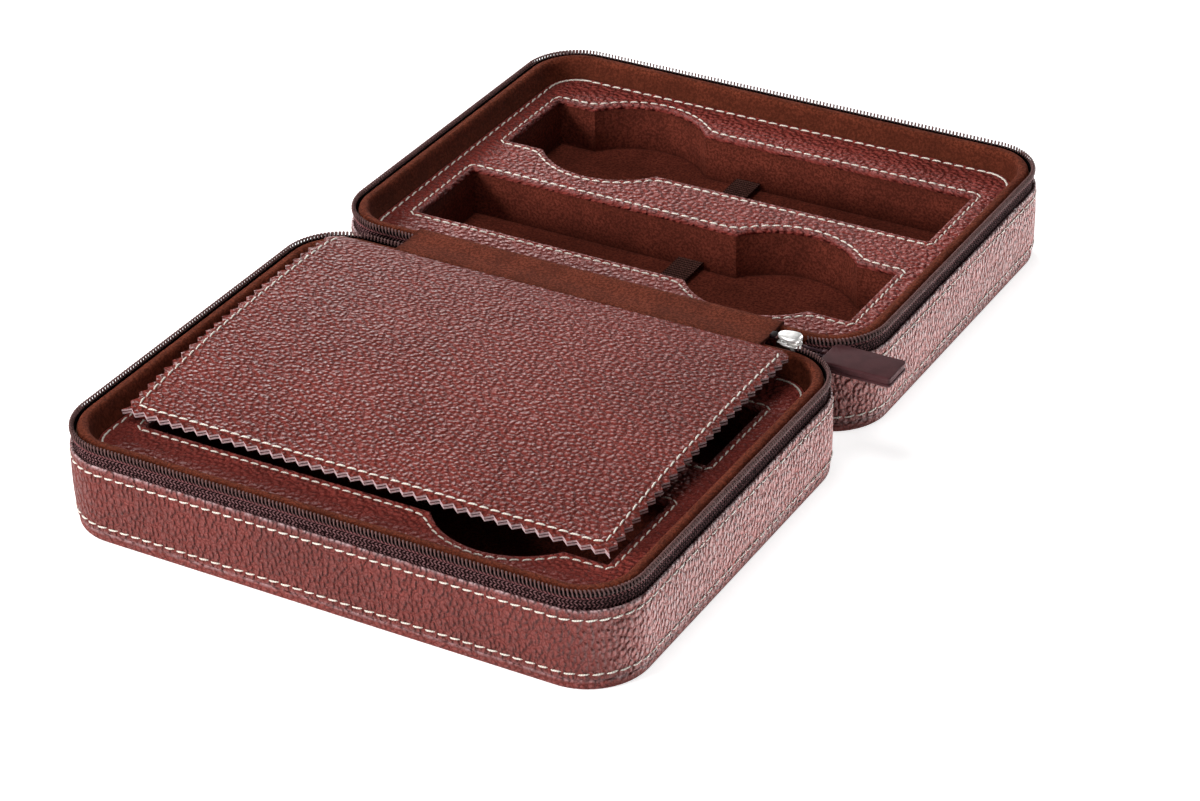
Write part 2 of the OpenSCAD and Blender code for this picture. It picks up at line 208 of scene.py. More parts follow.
class CasePage(bpy.types.PropertyGroup):
    teeth_x: IntProperty(
        name="Front teeth", description="Pinked teeth along the page's front edge",
        default=37, min=8, max=80)
    teeth_y: IntProperty(
        name="Side teeth", description="Pinked teeth along each side edge",
        default=26, min=8, max=80)
    tooth: length_field("Tooth depth", "Depth of the pinked teeth", 1.9, 0.5, 4)


SETTINGS = {
    "case_leather": CaseLeather,
    "case_thread": CaseThread,
    "case_suede": CaseSuede,
    "case_zip": CaseZip,
    "case_page": CasePage,
}


def settings(name):
    return getattr(bpy.context.scene, "case_" + name)


# ---- Node groups and materials ----


class Graph:
    """Short hand for adding and joining shader nodes."""

    def __init__(self, tree):
        self.tree = tree

    def add(self, kind, values=None, **fields):
        node = self.tree.nodes.new("ShaderNode" + kind)
        for key, value in fields.items():
            setattr(node, key, value)
        for key, value in (values or {}).items():
            self.give(node.inputs[key], value)
        return node

    def give(self, socket, value):
        if isinstance(value, bpy.types.NodeSocket):
            self.tree.links.new(value, socket)
        else:
            socket.default_value = value

    def maths(self, operation, a, b=0.0, c=0.0):
        node = self.add("Math", operation=operation)
        for socket, value in zip(node.inputs, (a, b, c)):
            self.give(socket, value)
        return node.outputs[0]

    def ramp(self, value, low, high, to_low=0.0, to_high=1.0):
        node = self.add("MapRange", {"Value": value, "From Min": low, "From Max": high,
                                     "To Min": to_low, "To Max": to_high},
                        interpolation_type="SMOOTHSTEP")
        return node.outputs["Result"]

    def mix(self, factor, a, b):
        node = self.add("Mix", data_type="RGBA", blend_type="MIX")
        for socket, value in ((node.inputs[0], factor), (node.inputs[6], a), (node.inputs[7], b)):
            self.give(socket, value)
        return node.outputs[2]

    def noise(self, vector, scale, detail=2.0, roughness=0.5, dimensions="3D"):
        return self.add("TexNoise", {"Vector": vector, "Scale": scale, "Detail": detail,
                                     "Roughness": roughness}, noise_dimensions=dimensions)


def make_group(name, inputs, outputs, build):
    """Node group with named sockets, built once."""
    if name in bpy.data.node_groups:
        return bpy.data.node_groups[name]
    tree = bpy.data.node_groups.new(name, "ShaderNodeTree")
    for label, kind, default in inputs:
        socket = tree.interface.new_socket(label, in_out="INPUT", socket_type="NodeSocket" + kind)
        if default is not None:
            socket.default_value = default
    for label, kind in outputs:
        tree.interface.new_socket(label, in_out="OUTPUT", socket_type="NodeSocket" + kind)
    source = tree.nodes.new("NodeGroupInput")
    sink = tree.nodes.new("NodeGroupOutput")
    for label, value in build(Graph(tree), source.outputs).items():
        tree.links.new(value, sink.inputs[label])
    return tree


def pebble_group():
    """Pebbled leather grain: domed cells of two sizes between creases."""

    def build(g, given):
        warp = g.noise(given["Vector"], 260.0, 2.0, 0.5, "2D")
        shift = g.add("VectorMath", operation="MULTIPLY_ADD")
        g.give(shift.inputs[0], warp.outputs["Color"])
        shift.inputs[1].default_value = (0.0011, 0.0011, 0.0)
        g.give(shift.inputs[2], given["Vector"])
        stretch = g.add("VectorMath", operation="MULTIPLY")
        g.give(stretch.inputs[0], shift.outputs[0])
        g.give(stretch.inputs[1], given["Stretch"])
        spot = stretch.outputs[0]
        small_scale = g.maths("MULTIPLY", given["Scale"], 1.9)
        soft = g.add("TexVoronoi", {"Vector": spot, "Scale": given["Scale"], "Smoothness": 0.4,
                                    "Randomness": 0.9},
                     feature="SMOOTH_F1", voronoi_dimensions="2D")
        big = g.add("TexVoronoi", {"Vector": spot, "Scale": given["Scale"], "Randomness": 0.9},
                    feature="DISTANCE_TO_EDGE", voronoi_dimensions="2D")
        small = g.add("TexVoronoi", {"Vector": spot, "Scale": small_scale, "Randomness": 1.0},
                      feature="SMOOTH_F1", voronoi_dimensions="2D")
        cell = g.add("TexVoronoi", {"Vector": spot, "Scale": given["Scale"], "Randomness": 0.9},
                     feature="F1", voronoi_dimensions="2D")
        dome = g.ramp(soft.outputs["Distance"], 0.6, 0.08)
        dimple = g.ramp(small.outputs["Distance"], 0.55, 0.1)
        fine = g.noise(given["Vector"], 2400.0, 3.0, 0.6, "2D").outputs["Fac"]
        height = g.maths("MULTIPLY_ADD", dimple, 0.16, g.maths("MULTIPLY", dome, 0.84))
        height = g.maths("MULTIPLY_ADD", fine, 0.03, height)
        # Crease output: the valleys between the pebbles, used as painted shade in the colour and for
        # roughness
        crease_shade = g.ramp(big.outputs["Distance"], 0.16, 0.0)
        crease_shade = g.maths("MULTIPLY", crease_shade, g.ramp(height, 0.7, 0.2))
        split = g.add("SeparateColor")
        g.give(split.inputs[0], cell.outputs["Color"])
        return {"Height": height, "Crease": crease_shade, "Tint": split.outputs[0]}

    return make_group(
        "Pebble grain",
        (("Vector", "Vector", None), ("Stretch", "Vector", (1.0, 1.0, 1.0)),
         ("Scale", "Float", 430.0)),
        (("Height", "Float"), ("Crease", "Float"), ("Tint", "Float")), build)


def nap_group():
    """Brushed suede: fine fibres, brush marks and soft mottling."""

    def build(g, given):
        fibre = g.noise(given["Vector"], given["Fibre"], 4.0, 0.75).outputs["Fac"]
        brush = g.noise(given["Vector"], 120.0, 3.0, 0.55).outputs["Fac"]
        patch = g.noise(given["Vector"], 28.0, 2.0, 0.5).outputs["Fac"]
        tint = g.maths("MULTIPLY_ADD", brush, 0.5, g.maths("MULTIPLY", patch, 0.5))
        grit = g.maths("MULTIPLY_ADD", fibre, 0.8, g.maths("MULTIPLY", brush, 0.4))
        return {"Height": grit, "Tint": g.ramp(tint, 0.36, 0.64),
                "Grit": g.ramp(fibre, 0.62, 0.4)}

    return make_group(
        "Suede nap", (("Vector", "Vector", None), ("Fibre", "Float", 2400.0)),
        (("Height", "Float"), ("Tint", "Float"), ("Grit", "Float")), build)


def weave_group():
    """Herringbone tape: slanted threads that turn over in every column."""

    def build(g, given):
        split = g.add("SeparateXYZ")
        g.give(split.inputs[0], given["Vector"])
        u, v = split.outputs[0], split.outputs[1]
        column = g.maths("PINGPONG", v, given["Column"])
        slanted = g.maths("MULTIPLY_ADD", column, 1.0, u)
        along = g.maths("DIVIDE", slanted, given["Pitch"])
        across = g.maths("DIVIDE", v, given["Column"])
        ridge = g.ramp(g.maths("PINGPONG", along, 0.5), 0.16, 0.36)
        row = g.ramp(g.maths("PINGPONG", across, 0.5), 0.02, 0.2)
        thread = g.maths("MULTIPLY", ridge, row)
        stray = g.noise(given["Vector"], 700.0, 2.0, 0.6, "2D").outputs["Fac"]
        mask = g.maths("MULTIPLY", thread, g.ramp(stray, 0.25, 0.55))
        return {"Height": thread, "Mask": mask}

    return make_group(
        "Herringbone tape",
        (("Vector", "Vector", None), ("Pitch", "Float", 0.00146), ("Column", "Float", 0.0011)),
        (("Height", "Float"), ("Mask", "Float")), build)


def wear_group():
    """Edge wear: a mark painted along the folds, broken up by noise."""

    def build(g, given):
        rub = g.noise(given["Vector"], 420.0, 4.0, 0.6).outputs["Fac"]
        mask = g.maths("MULTIPLY", given["Mark"], g.ramp(rub, 0.25, 0.7))
        return {"Mask": mask}

    return make_group("Edge wear", (("Vector", "Vector", None), ("Mark", "Float", 0.0)),
                      (("Mask", "Float"),), build)


def put_group(g, tree, **values):
    node = g.add("Group", node_tree=tree)
    for label, value in values.items():
        g.give(node.inputs[label], value)
    return node.outputs


def new_material(name, **sockets):
    """Material with a Principled BSDF whose uniform numbers stand on its own sockets."""
    material = bpy.data.materials.new(name)
    material.use_nodes = True
    tree = material.node_tree
    shader = tree.nodes["Principled BSDF"]
    for label, value in sockets.items():
        shader.inputs[label.replace("_", " ")].default_value = value
    return material, Graph(tree), shader


def rgba(colour, share=1.0):
    return (*(c * share for c in colour), 1.0)


def surface(g, kind="uv"):
    """Coordinates in metres: the piece's own UV map, or its place in the frame."""
    if kind == "uv":
        return g.add("UVMap", uv_map="along").outputs["UV"]
    return g.add("TexCoord").outputs["Object"]


def mark(g, name):
    return g.add("Attribute", attribute_name=name, attribute_type="GEOMETRY").outputs["Fac"]


def bump(g, shader, height, distance):
    node = g.add("Bump", {"Height": height, "Distance": distance, "Strength": 1.0})
    g.give(shader.inputs["Normal"], node.outputs["Normal"])


def leather_material(name, stretch=(1.0, 1.0, 1.0), depth=0.85 * MM, share=1.0, gloss=0.16,
                     rough=0.5):
    if name in bpy.data.materials:
        return bpy.data.materials[name]
    look = settings("leather")
    material, g, shader = new_material(name, Specular_IOR_Level=gloss)
    uv = surface(g)
    grain = put_group(g, pebble_group(), Vector=uv, Stretch=stretch, Scale=1.0 / look.pebble)
    mottle = g.noise(surface(g, "object"), 22.0, 3.0, 0.55).outputs["Fac"]
    base = g.mix(g.ramp(mottle, 0.35, 0.65), rgba(look.colour, 0.86 * share),
                 rgba(look.colour, 1.14 * share))
    base = g.mix(g.maths("MULTIPLY", grain["Tint"], 0.4), base, rgba(look.colour, 1.4 * share))
    # Painted highlight: the tops of the pebbles are lightened towards the Crest colour
    pebble_top_highlight = g.maths("MULTIPLY", g.ramp(grain["Height"], 0.6, 1.0), 0.12)
    base = g.mix(pebble_top_highlight, base, rgba(look.pebble_top_highlight, share))
    # Painted shade: the grain's valleys are darkened towards the Crease colour
    base = g.mix(g.maths("MULTIPLY", grain["Crease"], 0.45), base, rgba(look.crease_shade, share))
    # On leather the attribute mark is edge wear that lightens the folds towards the raw edge colour
    worn = put_group(g, wear_group(), Vector=surface(g, "object"), Mark=mark(g, "wear_and_shade"))["Mask"]
    base = g.mix(worn, base, rgba(look.raw_edge))
    g.give(shader.inputs["Base Color"], base)
    dry = g.maths("MULTIPLY_ADD", grain["Crease"], 0.3, rough)
    g.give(shader.inputs["Roughness"], g.maths("MULTIPLY_ADD", grain["Tint"], 0.1, dry))
    bump(g, shader, grain["Height"], depth)
    return material


def raw_edge_material():
    if "raw_leather_edge" in bpy.data.materials:
        return bpy.data.materials["raw_leather_edge"]
    look = settings("leather")
    material, g, shader = new_material("raw_leather_edge", Sheen_Weight=0.3, Roughness=0.85)
    spot = surface(g, "object")
    fibre = g.noise(spot, 2200.0, 3.0, 0.6).outputs["Fac"]
    g.give(shader.inputs["Base Color"],
           g.mix(g.ramp(fibre, 0.35, 0.68), rgba(look.raw_edge, 0.72), rgba(look.raw_edge, 1.1)))
    bump(g, shader, fibre, 0.1 * MM)
    return material


def suede_material(name, colour):
    if name in bpy.data.materials:
        return bpy.data.materials[name]
    material, g, shader = new_material(name, Specular_IOR_Level=0.05, Roughness=0.95)
    nap = put_group(g, nap_group(), Vector=surface(g, "object"), Fibre=SUEDE_FIBRE)
    base = g.mix(nap["Tint"], rgba(colour, 0.82), rgba(colour, 1.22))
    base = g.mix(g.maths("MULTIPLY", nap["Grit"], 0.8), base, rgba(colour, 0.3))
    # Painted shade: the attribute mark darkens the suede on the skirt, the pocket linings and the ends of
    # the hinge strip
    shade = g.maths("MULTIPLY", mark(g, "wear_and_shade"), 0.75)
    base = g.mix(shade, base, rgba(colour, 0.3))
    g.give(shader.inputs["Base Color"], base)
    bump(g, shader, nap["Height"], 0.7 * MM)
    return material


def thread_material():
    if "sewing_thread" in bpy.data.materials:
        return bpy.data.materials["sewing_thread"]
    look = settings("thread")
    material, g, shader = new_material(
        "sewing_thread", Roughness=0.6, Sheen_Weight=0.25, Specular_IOR_Level=0.9)
    uv = g.add("SeparateXYZ")
    g.give(uv.inputs[0], surface(g))
    ply = g.maths("PINGPONG", g.maths("MULTIPLY_ADD", uv.outputs[0], 5.0, uv.outputs[1]), 0.5)
    ridge = g.ramp(ply, 0.05, 0.4)
    g.give(shader.inputs["Base Color"],
           g.mix(ridge, rgba(look.colour, 0.72), rgba(look.colour, 1.04)))
    bump(g, shader, ridge, 0.08 * MM)
    return material


def tape_material():
    if "zip_tape_weave" in bpy.data.materials:
        return bpy.data.materials["zip_tape_weave"]
    look = settings("zip")
    material, g, shader = new_material(
        "zip_tape_weave", Roughness=0.95, Specular_IOR_Level=0.025)
    weave = put_group(g, weave_group(), Vector=surface(g))
    base = g.mix(weave["Mask"], rgba(look.tape), rgba(look.fleck))
    # Painted shade: the attribute mark darkens the tape behind the coil
    g.give(shader.inputs["Base Color"], g.mix(mark(g, "wear_and_shade"), base, rgba(look.tape, 0.3)))
    bump(g, shader, weave["Height"], 0.2 * MM)
    return material


def nylon_material(name, colour, roughness=0.6):
    if name in bpy.data.materials:
        return bpy.data.materials[name]
    material, g, shader = new_material(name, Specular_IOR_Level=0.06)
    drawn = g.noise(surface(g, "object"), 1500.0, 3.0, 0.6).outputs["Fac"]
    g.give(shader.inputs["Base Color"],
           g.mix(g.ramp(drawn, 0.3, 0.7), rgba(colour, 0.75), rgba(colour, 1.3)))
    g.give(shader.inputs["Roughness"], g.maths("MULTIPLY_ADD", drawn, 0.2, roughness - 0.1))
    bump(g, shader, drawn, 0.03 * MM)
    return material


def metal_material(name, colour, roughness=0.18):
    if name in bpy.data.materials:
        return bpy.data.materials[name]
    material, g, shader = new_material(name, Metallic=0.75)
    rub = g.noise(surface(g, "object"), 700.0, 4.0, 0.6).outputs["Fac"]
    scratch = g.noise(surface(g, "object"), 3000.0, 2.0, 0.5).outputs["Fac"]
    g.give(shader.inputs["Base Color"],
           g.mix(g.ramp(rub, 0.35, 0.65), rgba(colour, 0.9), rgba(colour, 1.0)))
    g.give(shader.inputs["Roughness"], g.maths("MULTIPLY_ADD", rub, 0.16, roughness - 0.06))
    bump(g, shader, scratch, 0.01 * MM)
    return material


def tab_material():
    if "pull_tab_leather" in bpy.data.materials:
        return bpy.data.materials["pull_tab_leather"]
    look = settings("zip")
    material, g, shader = new_material(
        "pull_tab_leather", Specular_IOR_Level=0.08)
    spot = surface(g, "object")
    fine = g.noise(spot, 1400.0, 4.0, 0.6).outputs["Fac"]
    soft = g.noise(spot, 160.0, 2.0, 0.5).outputs["Fac"]
    base = g.mix(g.ramp(soft, 0.35, 0.65), rgba(look.tab, 0.88), rgba(look.tab, 1.12))
    worn = put_group(g, wear_group(), Vector=spot, Mark=mark(g, "wear_and_shade"))["Mask"]
    g.give(shader.inputs["Base Color"], g.mix(worn, base, rgba(look.tab, 1.7)))
    g.give(shader.inputs["Roughness"], g.maths("MULTIPLY_ADD", fine, 0.2, 0.6))
    bump(g, shader, fine, 0.06 * MM)
    return material


def elastic_material():
    if "ribbed_elastic" in bpy.data.materials:
        return bpy.data.materials["ribbed_elastic"]
    material, g, shader = new_material(
        "ribbed_elastic", Roughness=0.9, Specular_IOR_Level=0.05)
    spot = surface(g, "object")
    crimp = g.add("TexWave", {"Vector": spot, "Scale": 220.0, "Distortion": 1.5, "Detail": 2.0},
                  bands_direction="Y").outputs["Fac"]
    fuzz = g.noise(spot, 2600.0, 3.0, 0.6).outputs["Fac"]
    dark, pale = linear(36, 18, 15), linear(124, 84, 76)
    mask = g.maths("MULTIPLY", crimp, g.ramp(fuzz, 0.3, 0.7))
    g.give(shader.inputs["Base Color"], g.mix(mask, rgba(dark), rgba(pale)))
    bump(g, shader, g.maths("MULTIPLY_ADD", fuzz, 0.4, crimp), 0.15 * MM)
    return material


def plain_grain_material(name, colour, roughness, scale):
    """Board, foam and other hidden layers: fibres and pores."""
    if name in bpy.data.materials:
        return bpy.data.materials[name]
    material, g, shader = new_material(name, Specular_IOR_Level=0.2)
    spot = surface(g, "object")
    pores = g.noise(spot, scale, 4.0, 0.65).outputs["Fac"]
    g.give(shader.inputs["Base Color"],
           g.mix(g.ramp(pores, 0.35, 0.65), rgba(colour, 0.7), rgba(colour, 1.15)))
    g.give(shader.inputs["Roughness"], g.maths("MULTIPLY_ADD", pores, 0.2, roughness))
    bump(g, shader, pores, 0.2 * MM)
    return material


# ---- Mesh helpers ----


def new_bmesh():
    bm = bmesh.new()
    # The third mark is edge wear on leather and painted shade on suede and tape
    for name in ("u", "v", "wear_and_shade"):
        bm.verts.layers.float.new(name)
    return bm


def mapped_bmesh():
    """The same with the UV map made at once, for copies of a small mesh."""
    bm = new_bmesh()
    bm.loops.layers.uv.new("along")
    return bm


def marked(bm, vert, u=0.0, v=0.0, wear_and_shade=0.0):
    layers = bm.verts.layers.float
    vert[layers["u"]], vert[layers["v"]], vert[layers["wear_and_shade"]] = u, v, wear_and_shade
    return vert


def loft(bm, rows, closed=True, u=None, v=None, wear_and_shade=None):
    """Skins through rows of points: each row is extruded from the one before it."""
    count = len(rows[0])
    u = u or [i / count for i in range(count)]
    v = v or list(range(len(rows)))
    wear_and_shade = wear_and_shade or [0.0] * len(rows)
    row = [marked(bm, bm.verts.new(p), u[i], v[0], wear_and_shade[0]) for i, p in enumerate(rows[0])]
    pairs = [(i, i + 1) for i in range(count - 1)] + ([(count - 1, 0)] if closed else [])
    edges = [bm.edges.new((row[a], row[b])) for a, b in pairs]
    ends = [row]
    for k, points in enumerate(rows[1:], 1):
        where = {vert: i for i, vert in enumerate(row)}
        made = bmesh.ops.extrude_edge_only(bm, edges=edges)["geom"]
        fresh = [g for g in made if isinstance(g, bmesh.types.BMVert)]
        row = [None] * count
        for vert in fresh:
            for edge in vert.link_edges:
                i = where.get(edge.other_vert(vert))
                if i is not None:
                    row[i] = marked(bm, vert, u[i], v[k], wear_and_shade[k])
                    vert.co = points[i]
        edges = [g for g in made if isinstance(g, bmesh.types.BMEdge)
                 and g.verts[0] not in where and g.verts[1] not in where]
        ends.append(row)
    return ends


def cap(bm, rows):
    """Closes the first and the last row of a loft, each with one flat face."""
    bm.faces.new(rows[0])
    bm.faces.new(rows[-1])


def lay_uv(bm, length=0.0, shift=0.0):
    """Writes the u and v marks to the UV map, across the seam of a closed run too."""
    layer = bm.loops.layers.uv.new("along")
    u, v = bm.verts.layers.float["u"], bm.verts.layers.float["v"]
    for face in bm.faces:
        values = [loop.vert[u] for loop in face.loops]
        wrap = length and max(values) - min(values) > length / 2
        for loop, value in zip(face.loops, values):
            if wrap and value < length / 2:
                value += length
            loop[layer].uv = (value + shift, loop.vert[v])


def flat_uv(bm, shift=0.0):
    """Marks each point with its place in plan, for flat leather."""
    for vert in bm.verts:
        marked(bm, vert, vert.co.x + shift, vert.co.y, vert[bm.verts.layers.float["wear_and_shade"]])


def to_tray(bm, tray):
    """Turns a piece of the front tray round and carries it across the hinge."""
    if tray == "back":
        return
    bmesh.ops.rotate(bm, verts=bm.verts[:], cent=(0, 0, 0), matrix=Matrix.Rotation(math.pi, 3, "Z"))
    bmesh.ops.translate(bm, verts=bm.verts[:], vec=(0, FRONT_Y, 0))


def piece(bm, name, materials, body, replaces=(), outward=True, angle=None):
    """Turns a bmesh into a finished piece that rides on a body."""
    if outward:
        bmesh.ops.recalc_face_normals(bm, faces=bm.faces[:])
    mesh = bpy.data.meshes.new(name)
    bm.to_mesh(mesh)
    bm.free()
    obj = bpy.data.objects.new(name, mesh)
    bpy.context.scene.collection.objects.link(obj)
    for material in materials:
        mesh.materials.append(material)
    mesh.shade_smooth()
    if angle:
        mesh.set_sharp_from_angle(angle=angle)
    if replaces:
        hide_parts(*replaces)
    if body:
        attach(obj, body)
    return obj


def edge_point(s, inset=0.0, z=0.0):
    """Place on a tray's edge at a distance s along it, moved in by inset, and the inward
    direction there."""
    s %= EDGE_LEN
    runs = [
        (RUN_L, Vector((0, -TRAY_W / 2)), Vector((-1, 0))),
        (CORNER_LEN, Vector((-RUN_L, -RUN_W)), 270.0),
        (2 * RUN_W, Vector((-TRAY_L / 2, -RUN_W)), Vector((0, 1))),
        (CORNER_LEN, Vector((-RUN_L, RUN_W)), 180.0),
        (2 * RUN_L, Vector((-RUN_L, TRAY_W / 2)), Vector((1, 0))),
        (CORNER_LEN, Vector((RUN_L, RUN_W)), 90.0),
        (2 * RUN_W, Vector((TRAY_L / 2, RUN_W)), Vector((0, -1))),
        (CORNER_LEN, Vector((RUN_L, -RUN_W)), 0.0),
        (RUN_L, Vector((RUN_L, -TRAY_W / 2)), Vector((-1, 0))),
    ]
    for length, start, way in runs:
        if s <= length + 1e-9:
            break
        s -= length
    if isinstance(way, float):
        angle = math.radians(way) - s / CORNER_R
        out = Vector((math.cos(angle), math.sin(angle)))
        spot = start + out * (CORNER_R - inset)
        inward = -out
    else:
        inward = Vector((way.y, -way.x))
        spot = start + way * s + inward * inset
    return Vector((spot.x, spot.y, z)), Vector((inward.x, inward.y, 0))


def edge_stations(count, start=0.0, end=EDGE_LEN, closed=True):
    """Distances along the edge, evenly spaced."""
    span = count if closed else count - 1
    return [start + (end - start) * i / span for i in range(count)]


def run_length(points):
    """Running length along a profile of (inset, height)."""
    total, out = 0.0, [0.0]
    for (a, b), (c, d) in zip(points, points[1:]):
        total += math.hypot(c - a, d - b)
        out.append(total)
    return out


def sweep_edge(bm, profile, stations, closed=True, shape=None, wear_and_shade=None):
    """Sweeps a profile of (inset, height) along a tray's edge. shape(s, k) moves a point
    of the profile in, and up."""
    rows = []
    for k, (inset, z) in enumerate(profile):
        row = []
        for s in stations:
            more, lift = shape(s, k) if shape else (0.0, 0.0)
            row.append(edge_point(s, inset + more, z + lift)[0])
        rows.append(row)
    return loft(bm, rows, closed, u=list(stations), v=run_length(profile), wear_and_shade=wear_and_shade)


def close_profile(bm, rows, closed=True):
    """Joins the last row of a swept tube to its first."""
    first, last = rows[0], rows[-1]
    bmesh.ops.bridge_loops(
        bm, edges=[e for row in (first, last) for e in loop_edges(bm, row, closed)])


def close_tube(bm, rows):
    """Closes an open run of a swept tube: its profile, then both of its ends."""
    close_profile(bm, rows, closed=False)
    for i in (0, -1):
        bm.faces.new([row[i] for row in rows])


def loop_edges(bm, row, closed=True):
    pairs = list(zip(row, row[1:])) + ([(row[-1], row[0])] if closed else [])
    return [bm.edges.get(pair) for pair in pairs]


def wobble(point, scale, depth, seed=0.0):
    """Gentle unevenness of hand-turned leather."""
    return noise.noise(Vector(point) * scale + Vector((seed, seed * 0.7, 0))) * depth


def path_lengths(points, closed=True):
    total, out = 0.0, [0.0]
    ring = points + points[:1] if closed else points
    for a, b in zip(ring, ring[1:]):
        total += (b - a).length
        out.append(total)
    return out


def path_spot(points, lengths, s, closed=True):
    """Place and direction at a distance s along a path of points."""
    ring = points + points[:1] if closed else points
    s = s % lengths[-1] if closed else min(max(s, 0.0), lengths[-1])
    low, high = 0, len(lengths) - 1
    while high - low > 1:
        mid = (low + high) // 2
        low, high = (mid, high) if lengths[mid] <= s else (low, mid)
    span = max(lengths[high] - lengths[low], 1e-9)
    way = (ring[high] - ring[low]).normalized()
    return ring[low].lerp(ring[high], (s - lengths[low]) / span), way


def placed(spot, along, out):
    """Matrix that stands X along one direction and Z along another at a place."""
    x = along.normalized()
    z = (out - x * out.dot(x)).normalized()
    y = z.cross(x)
    m = Matrix((x, y, z)).transposed().to_4x4()
    m.translation = spot
    return m


def stamp(bm, mesh, matrices):
    """Adds a copy of a small mesh at each place."""
    for matrix in matrices:
        mesh.transform(matrix)
        bm.from_mesh(mesh)
        mesh.transform(matrix.inverted())


def stitch_mesh(length, width):
    """One stitch: a grain of thread whose ends dip into the leather."""
    bm = new_bmesh()
    layer = bm.loops.layers.uv.new("along")
    bmesh.ops.create_uvsphere(bm, u_segments=6, v_segments=6, radius=0.5,
                              matrix=Matrix.Rotation(math.pi / 2, 4, "Y"))
    for vert in bm.verts:
        x = vert.co.x * 2
        swell = (1 - abs(x) ** 3) ** 0.5 if abs(x) < 1 else 0.0
        radial = math.hypot(vert.co.y, vert.co.z) or 1.0
        vert.co.y *= 0.5 * swell / radial
        vert.co.z *= 0.5 * swell / radial
    for face in bm.faces:
        for loop in face.loops:
            co = loop.vert.co
            loop[layer].uv = (co.x, math.atan2(co.z, co.y) / math.tau + 0.5)
    bmesh.ops.scale(bm, vec=(length, width, width * 0.9), verts=bm.verts[:])
    for vert in bm.verts:
        vert.co.z += width * 0.16 - width * 0.8 * (2 * vert.co.x / length) ** 4
    mesh = bpy.data.meshes.new("stitch")
    bm.to_mesh(mesh)
    bm.free()
    mesh.shade_smooth()
    return mesh


def sew(bm, places, length=None):
    """Stamps stitches at places of (spot, along, out)."""
    look = settings("thread")
    mesh = stitch_mesh(length or look.pitch * 0.93, look.width)
    turn = Matrix.Rotation(look.slant, 4, "Z")
    stamp(bm, mesh, [placed(*place) @ turn for place in places])
    bpy.data.meshes.remove(mesh)


def edge_seam(inset, z, pitch, out=None):
    """Places of stitches along a tray's edge; they face outwards unless out is given."""
    count = round(EDGE_LEN / pitch)
    places = []
    for i in range(count):
        s = EDGE_LEN * (i + 0.5) / count
        spot, inward = edge_point(s, inset, z)
        ahead, _ = edge_point(s + AHEAD, inset, z)
        places.append((spot, ahead - spot, out or -inward))
    return places


def path_seam(points, pitch, out, closed=True):
    """Places of stitches along a path of points."""
    lengths = path_lengths(points, closed)
    count = round(lengths[-1] / pitch)
    places = []
    for i in range(count):
        s = lengths[-1] * (i + 0.5) / count
        a, _ = path_spot(points, lengths, s - pitch * 0.4, closed)
        b, _ = path_spot(points, lengths, s + pitch * 0.4, closed)
        places.append(((a + b) / 2, b - a, out))
    return places


def body_of(tray):
    return tray + "_tray"


class CaseOperator(bpy.types.Operator):
    """Shared by the operators that build the case"""

    bl_options = {"REGISTER", "UNDO"}

    def execute(self, context):
        self.build()
        return {"FINISHED"}


# ---- Leather shells ----


class CASE_OT_base(CaseOperator):
    """Base leather of both trays, turned up round the bottom edge"""

    bl_idname = "case.base"
    bl_label = "Base leather"

    def build(self):
        stations = edge_stations(330)
        edge = 0.6 * MM
        profile = [(16 * MM, 0), (4 * MM, 0), (edge + 1.4 * MM, 0)]
        for i in range(1, 7):
            a = math.radians(15 * i)
            profile.append((edge + 1.4 * MM * (1 - math.sin(a)), 1.4 * MM * (1 - math.cos(a))))
        profile += [(edge - 0.04 * MM, 2.8 * MM), (edge + 0.1 * MM, 3.3 * MM),
                    (edge + 0.45 * MM, BASE_H), (edge + 0.95 * MM, BASE_H - 0.05 * MM),
                    (edge + 1.4 * MM, 3.3 * MM), (edge + 1.4 * MM, 1.9 * MM),
                    (4 * MM, 1.4 * MM), (16 * MM, 1.4 * MM)]
        wear_and_shade = [0.0] * 9 + [0.0, 0.25, 0.6, 0.4] + [0.0] * 4
        for n, tray in enumerate(TRAYS):
            bm = new_bmesh()
            rows = sweep_edge(bm, profile, stations, wear_and_shade=wear_and_shade)
            cap(bm, rows)
            lay_uv(bm, EDGE_LEN, 0.31 + 0.7 * n)
            bm.normal_update()
            along = bm.loops.layers.uv["along"]
            for face in bm.faces:
                if abs(face.normal.z) > 0.95:
                    for loop in face.loops:
                        loop[along].uv = loop.vert.co.xy
            to_tray(bm, tray)
            # share 1.1 lifts the base leather's colour as painted light for the sheen on its turned-up edge
            skin = leather_material("leather_base", (1.0, 1.25, 1.0), share=1.1, gloss=0.36)
            piece(bm, tray + "_base_skin", [skin], body_of(tray),
                  [tray + "_base_leather"])


